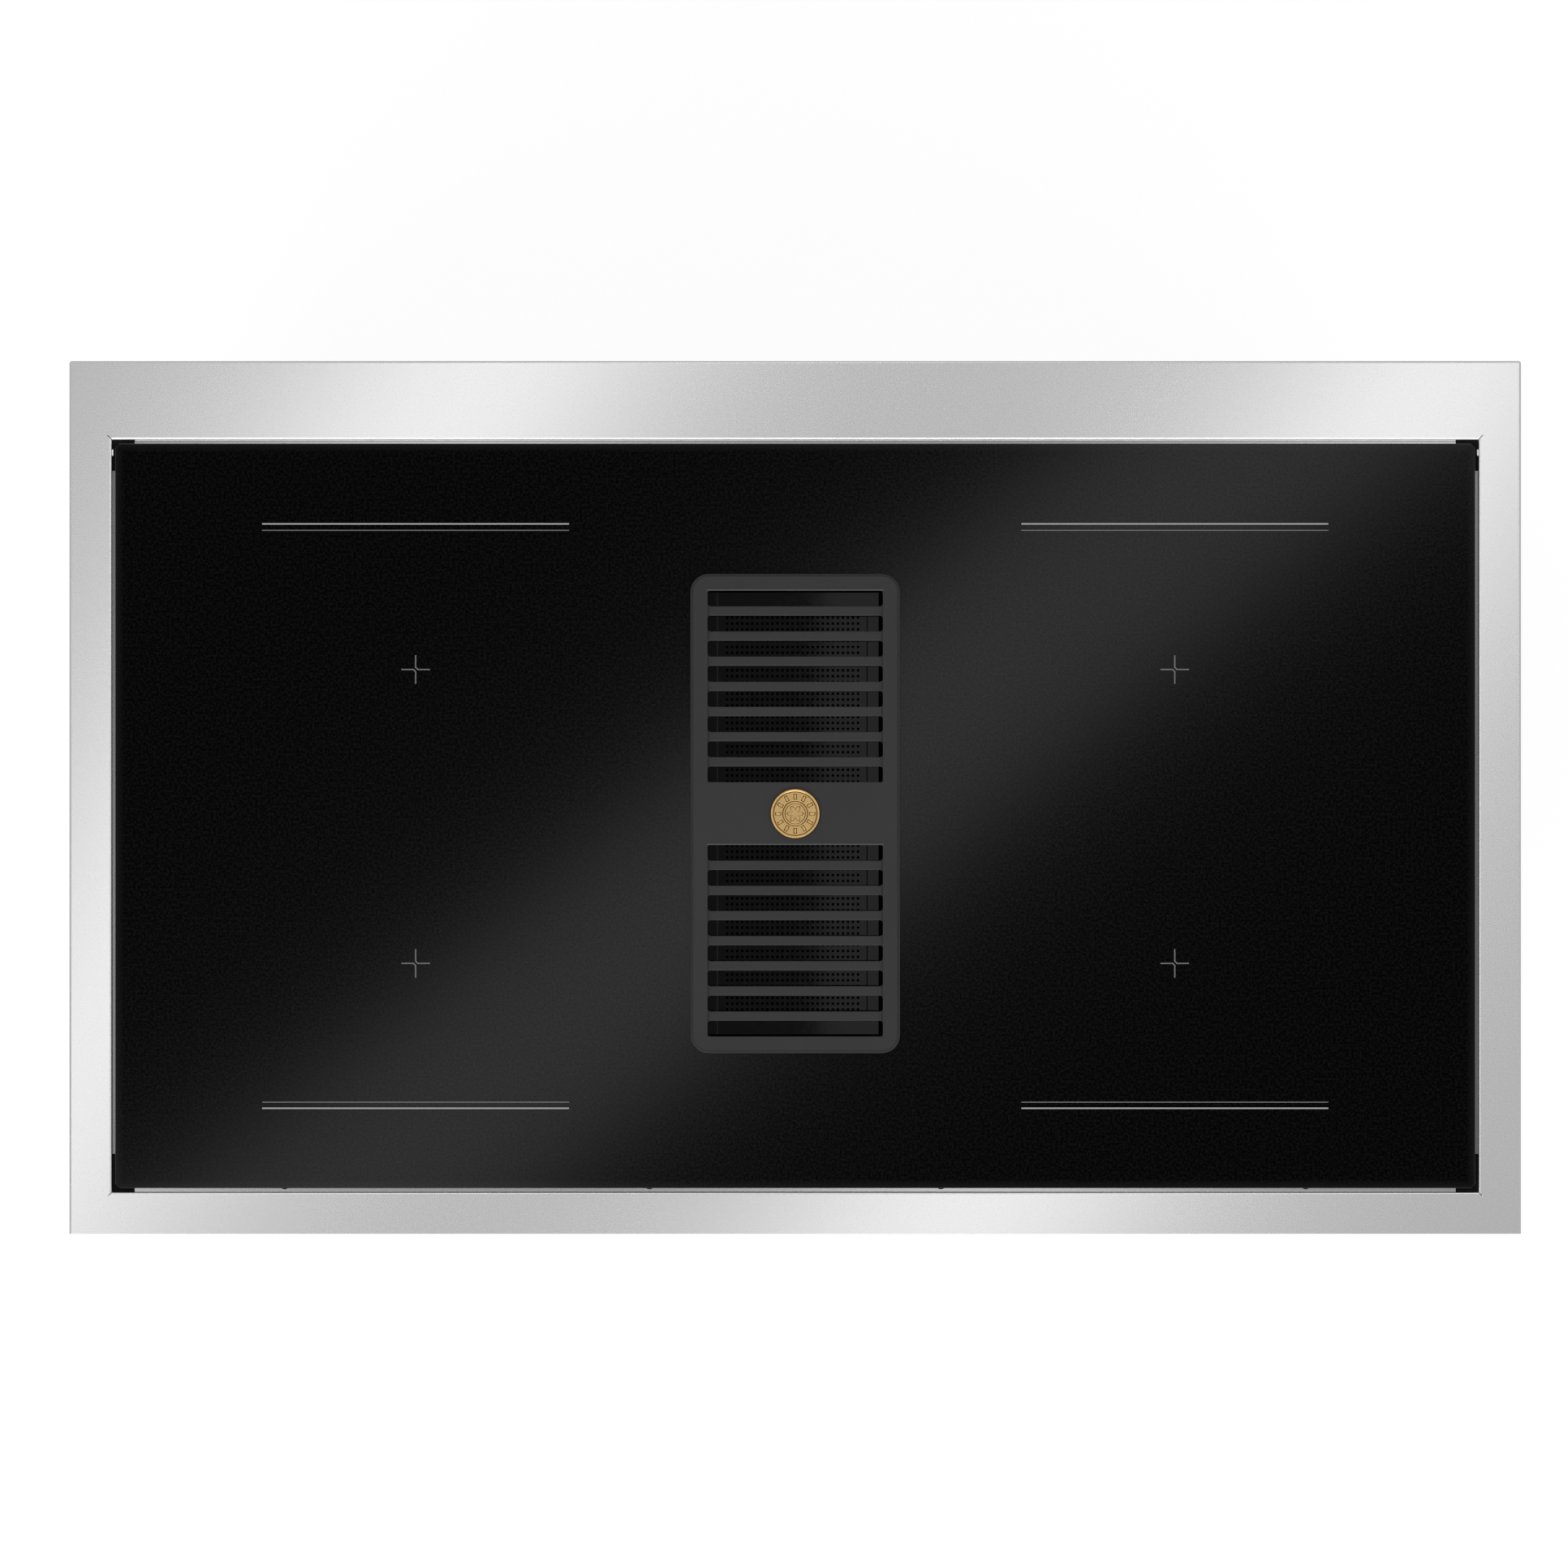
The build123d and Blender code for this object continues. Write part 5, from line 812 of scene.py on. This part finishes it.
tray_low, tray_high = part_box("grease_filter")
form = bmesh.new()
column_lines = grid_lines(PANEL_X0, PANEL_X1, COLUMN_PITCH, COLUMNS)
column_lines[-1] -= PANEL_GAP
perforated(
    form,
    column_lines,
    grid_lines(PANEL_Y0, PANEL_Y1, ROW_PITCH, ROWS),
    PANEL_TOP - PANEL_STEP - SHEET,
    PANEL_TOP - PANEL_STEP,
)
outer = (tray_low.x, tray_high.x, tray_low.y, tray_high.y)
inside = (tray_low.x + RIM, tray_high.x - RIM, tray_low.y + RIM, tray_high.y - RIM)
panel = (PANEL_X0, PANEL_X1, PANEL_Y0, PANEL_Y1)
under = (PANEL_X0 - RIM, PANEL_X1 + RIM, PANEL_Y0 - RIM, PANEL_Y1 + RIM)
frame_ring(form, outer, inside, tray_low.z, tray_high.z)
frame_ring(form, inside, panel, PANEL_TOP - SHEET, PANEL_TOP)
frame_ring(form, under, panel, PANEL_TOP - PANEL_STEP - 2 * SHEET, PANEL_TOP - SHEET)
filter_mesh = mesh_from("filter_tray", form)
filter_piece = piece("filter_tray", filter_mesh, "filter_metal", "filter", "grease_filter")

# Medallion: a disc with a rounded rim, engraved rings, outlined wedges and a plain rosette
BADGE_STEPS = 360
BADGE_RINGS = 128
BADGE_RIM = 1.6 * MM
# How square the rounded rim is: 2 would make it a parabola
RIM_CURVE = 2.5
ENGRAVED = 0.3 * MM
# The drawing, in millimetres: radii of rings, half widths of lines and of the wedges
RINGS = (14.9, 8.5, 7.0)
LINE_HALF = 0.30
SPOKES = 12
SPOKE_FROM = 9.9
SPOKE_TO = 13.6
SPOKE_HALF = 0.95
PETALS = 6
PETAL_FROM = 2.0
PETAL_LENGTH = 3.6
badge_low, badge_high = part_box("grille_badge")
badge_radius = (badge_high.x - badge_low.x) / 2
badge_centre = (badge_low + badge_high) / 2


def badge_height(radius, angle):
    """Height of the medallion's face over its field, from the turning and the engraving."""
    if radius > badge_radius - BADGE_RIM:
        across = (radius - badge_radius) / BADGE_RIM * 2 + 1
        return BADGE_DROP * (1 - abs(across) ** RIM_CURVE)
    r = radius / MM
    engraved = any(abs(r - ring) < LINE_HALF for ring in RINGS)
    if SPOKE_FROM - LINE_HALF < r < SPOKE_TO + LINE_HALF:
        turn = angle * SPOKES / (2 * math.pi)
        aside = abs((turn + 0.5) % 1 - 0.5) * 2 * math.pi / SPOKES * r
        end = min(abs(r - SPOKE_FROM), abs(r - SPOKE_TO))
        on_side = abs(aside - SPOKE_HALF) < LINE_HALF
        on_end = aside < SPOKE_HALF and end < LINE_HALF
        engraved = engraved or on_side or on_end
    if r < RINGS[-1]:
        petal = PETAL_FROM + PETAL_LENGTH * abs(math.cos(angle * PETALS / 2))
        engraved = engraved or abs(r - petal) < LINE_HALF
    return -ENGRAVED if engraved else 0.0


form = bmesh.new()
field = badge_high.z - BADGE_DROP
rings = []
for ring_place in range(1, BADGE_RINGS + 1):
    radius = badge_radius * ring_place / BADGE_RINGS
    ring = []
    for step in range(BADGE_STEPS):
        angle = 2 * math.pi * step / BADGE_STEPS
        ring.append(form.verts.new((
            badge_centre.x + radius * math.cos(angle),
            badge_centre.y + radius * math.sin(angle),
            field + badge_height(radius, angle),
        )))
    rings.append(ring)
rings.append([form.verts.new((v.co.x, v.co.y, badge_low.z)) for v in rings[-1]])
middle = form.verts.new((badge_centre.x, badge_centre.y, field))
base = form.verts.new((badge_centre.x, badge_centre.y, badge_low.z))
for step in range(BADGE_STEPS):
    after = (step + 1) % BADGE_STEPS
    form.faces.new((middle, rings[0][step], rings[0][after]))
    form.faces.new((base, rings[-1][after], rings[-1][step]))
    for lower, upper in zip(rings, rings[1:]):
        form.faces.new((lower[step], upper[step], upper[after], lower[after]))
badge_mesh = mesh_from("grille_medallion", form)
for face in badge_mesh.polygons:
    face.use_smooth = True
medallion = piece("grille_medallion", badge_mesh, "badge_brass", "grille", "grille_badge")


# Studio: floor, surroundings, lamps and camera

def mixed_shader(tree, factor, first, second):
    """A shader between two."""
    mix = tree.nodes.new("ShaderNodeMixShader")
    for place, output in enumerate((factor, first, second)):
        tree.links.new(output, mix.inputs[place])
    return mix.outputs[0]


def white_for_seen_rays(tree, plain, seen):
    """plain for light that falls on things, seen for what the camera and reflections show."""
    path = tree.nodes.new("ShaderNodeLightPath")
    any_seen = path.outputs["Is Camera Ray"]
    for kind in ("Is Glossy Ray", "Is Transmission Ray"):
        any_seen = arithmetic(tree, "MAXIMUM", any_seen, path.outputs[kind])
    return mixed_shader(tree, any_seen, plain, seen)


AMBIENT = 0.78
# The white wall fades to a dark ceiling as a ray's direction rises, 1 being straight up
WALL_TOP = 0.55
CEILING_START = 0.92
CEILING_TONE = 0.03
world = bpy.data.worlds.new("studio")
bpy.context.scene.world = world
world.use_nodes = True
tree = world.node_tree
tree.nodes.clear()
coords = tree.nodes.new("ShaderNodeTexCoord")
split = tree.nodes.new("ShaderNodeSeparateXYZ")
tree.links.new(coords.outputs["Generated"], split.inputs[0])
tone = ramp(tree, split.outputs["Z"], WALL_TOP, CEILING_START, 1.0, CEILING_TONE)
wall = tree.nodes.new("ShaderNodeBackground")
tree.links.new(tone, wall.inputs["Strength"])
ambient = tree.nodes.new("ShaderNodeBackground")
ambient.inputs["Strength"].default_value = AMBIENT
backdrop = tree.nodes.new("ShaderNodeBackground")
backdrop.inputs["Color"].default_value = (1, 1, 1, 1)
around = white_for_seen_rays(tree, ambient.outputs[0], wall.outputs[0])
path = tree.nodes.new("ShaderNodeLightPath")
behind = mixed_shader(tree, path.outputs["Is Camera Ray"], around, backdrop.outputs[0])
output = tree.nodes.new("ShaderNodeOutputWorld")
tree.links.new(behind, output.inputs["Surface"])

FLOOR_HALF = 30.0
FLOOR_BASE = -0.1
FLOOR_TOP = -0.2 * MM
FLOOR_WHITE = 0.96
FLOOR_SHADOW = 0.25
FLOOR_GLOW = 0.86
form = bmesh.new()
corners = [(x * FLOOR_HALF, y * FLOOR_HALF) for x, y in ((-1, -1), (1, -1), (1, 1), (-1, 1))]
slab(form, corners, FLOOR_BASE, FLOOR_TOP)
floor = bpy.data.objects.new("floor", mesh_from("floor", form))
bpy.context.scene.collection.objects.link(floor)
made, tree, shader = new_material("floor")
shader.inputs["Base Color"].default_value = (*grey(FLOOR_WHITE), 1)
shader.inputs["Roughness"].default_value = 0.9
shader.inputs["Specular IOR Level"].default_value = 0.0
# What the camera sees: mostly even white, and enough of the light on it to keep the shadow
glow = tree.nodes.new("ShaderNodeEmission")
glow.inputs["Strength"].default_value = FLOOR_GLOW
lit = tree.nodes.new("ShaderNodeBsdfDiffuse")
lit.inputs["Color"].default_value = (*grey(FLOOR_WHITE * FLOOR_SHADOW), 1)
shadowed = tree.nodes.new("ShaderNodeAddShader")
tree.links.new(glow.outputs[0], shadowed.inputs[0])
tree.links.new(lit.outputs[0], shadowed.inputs[1])
seen = white_for_seen_rays(tree, shader.outputs[0], shadowed.outputs[0])
tree.links.new(seen, tree.nodes["Material Output"].inputs["Surface"])
floor.data.materials.append(made)


def lamp(name, place, target, size, radiance, receivers=(), roll=0.0, barred=()):
    """A soft area lamp of a given radiance, aimed at a point, or turned by roll as it looks down.

    It lights every piece, or only its receivers, or all but those that are barred.
    """
    light = bpy.data.lights.new(name, "AREA")
    light.shape = "RECTANGLE"
    light.size, light.size_y = size
    light.energy = radiance * math.pi * size[0] * size[1]
    made = bpy.data.objects.new(name, light)
    bpy.context.scene.collection.objects.link(made)
    made.location = place
    if roll:
        made.rotation_euler = (0, 0, roll)
    else:
        made.rotation_mode = "QUATERNION"
        aim = Vector(target) - Vector(place)
        made.rotation_quaternion = aim.to_track_quat("-Z", "Y")
    made.visible_camera = False
    if receivers or barred:
        group = bpy.data.collections.new(name + "_receivers")
        for each in (*receivers, *barred):
            group.objects.link(each)
        for link in group.collection_objects[len(receivers):]:
            link.light_linking.link_state = "EXCLUDE"
        made.light_linking.receiver_collection = group


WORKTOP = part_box("worktop_frame")[1].z
CAMERA_X = -7.7 * MM
CAMERA_Y = 9.2 * MM
CAMERA_RISE = 5.988
STRIP_RISE = 1.3


def above(x, y):
    """Where a lamp hangs that the camera sees mirrored at (x, y) of the worktop."""
    spread = 1 + STRIP_RISE / CAMERA_RISE
    hung_x = CAMERA_X + (x - CAMERA_X) * spread
    hung_y = CAMERA_Y + (y - CAMERA_Y) * spread
    return (hung_x, hung_y, WORKTOP + STRIP_RISE)


def below(place):
    """The point of the floor under a lamp."""
    return (place[0], place[1], 0)


steel = [nodes["worktop_frame"], medallion]
glass = [nodes["hob_glass"]]
lamp("overhead", (0, 0, WORKTOP + 2.6), (0, 0, 0), (6.0, 6.0), 0.635, steel)
# Two bands of light across the steel, and one across the glass
for name, place, size, radiance, receivers, degrees in (
    ("strip_left", above(-0.3583, 0.0516), (2.4, 0.16), 1.71, steel, 60.2),
    ("strip_right", above(0.2735, -0.0061), (2.4, 0.16), 1.71, steel, 60.2),
    ("strip_glass", above(0.002, -0.020), (2.4, 0.185), 0.80, glass, 40),
):
    lamp(name, place, below(place), size, radiance, receivers, math.radians(degrees))
# The grease filter mirrors a dim panel on its left and a brighter one from SPLIT_X to its right
SPLIT_X = 17 * MM
PANEL_HALF = 0.45
split_x, split_y, split_z = above(SPLIT_X, 0.0)
for name, side, radiance in (("filter_dim", -1, 0.085), ("filter_bright", 1, 0.40)):
    place = (split_x + side * PANEL_HALF / 2, split_y, split_z)
    lamp(name, place, below(place), (PANEL_HALF, 2 * PANEL_HALF), radiance, [filter_piece])
lamp("badge_front", (0, -3.4, WORKTOP + 1.7), (0, 0.25, WORKTOP), (3.6, 2.8), 1.8, [medallion])
# The worktop would mirror these two to white from behind, so they leave it out
lamp("key", (-2.4, -4.2, 4.4), (0, 0, 0.5), (4.5, 4.5), 1.33, barred=steel)
lamp("fill", (3.4, -3.0, 2.6), (0, 0, 0.4), (3.0, 3.0), 1.2, barred=steel)

camera_data = bpy.data.cameras.new("camera")
camera_data.lens = 200.0
camera_data.sensor_width = 36.0
camera_data.clip_end = 200.0
camera = bpy.data.objects.new("camera", camera_data)
bpy.context.scene.collection.objects.link(camera)
camera.location = (CAMERA_X, CAMERA_Y, WORKTOP + CAMERA_RISE)
bpy.context.scene.camera = camera
bpy.context.scene.view_settings.view_transform = "Standard"
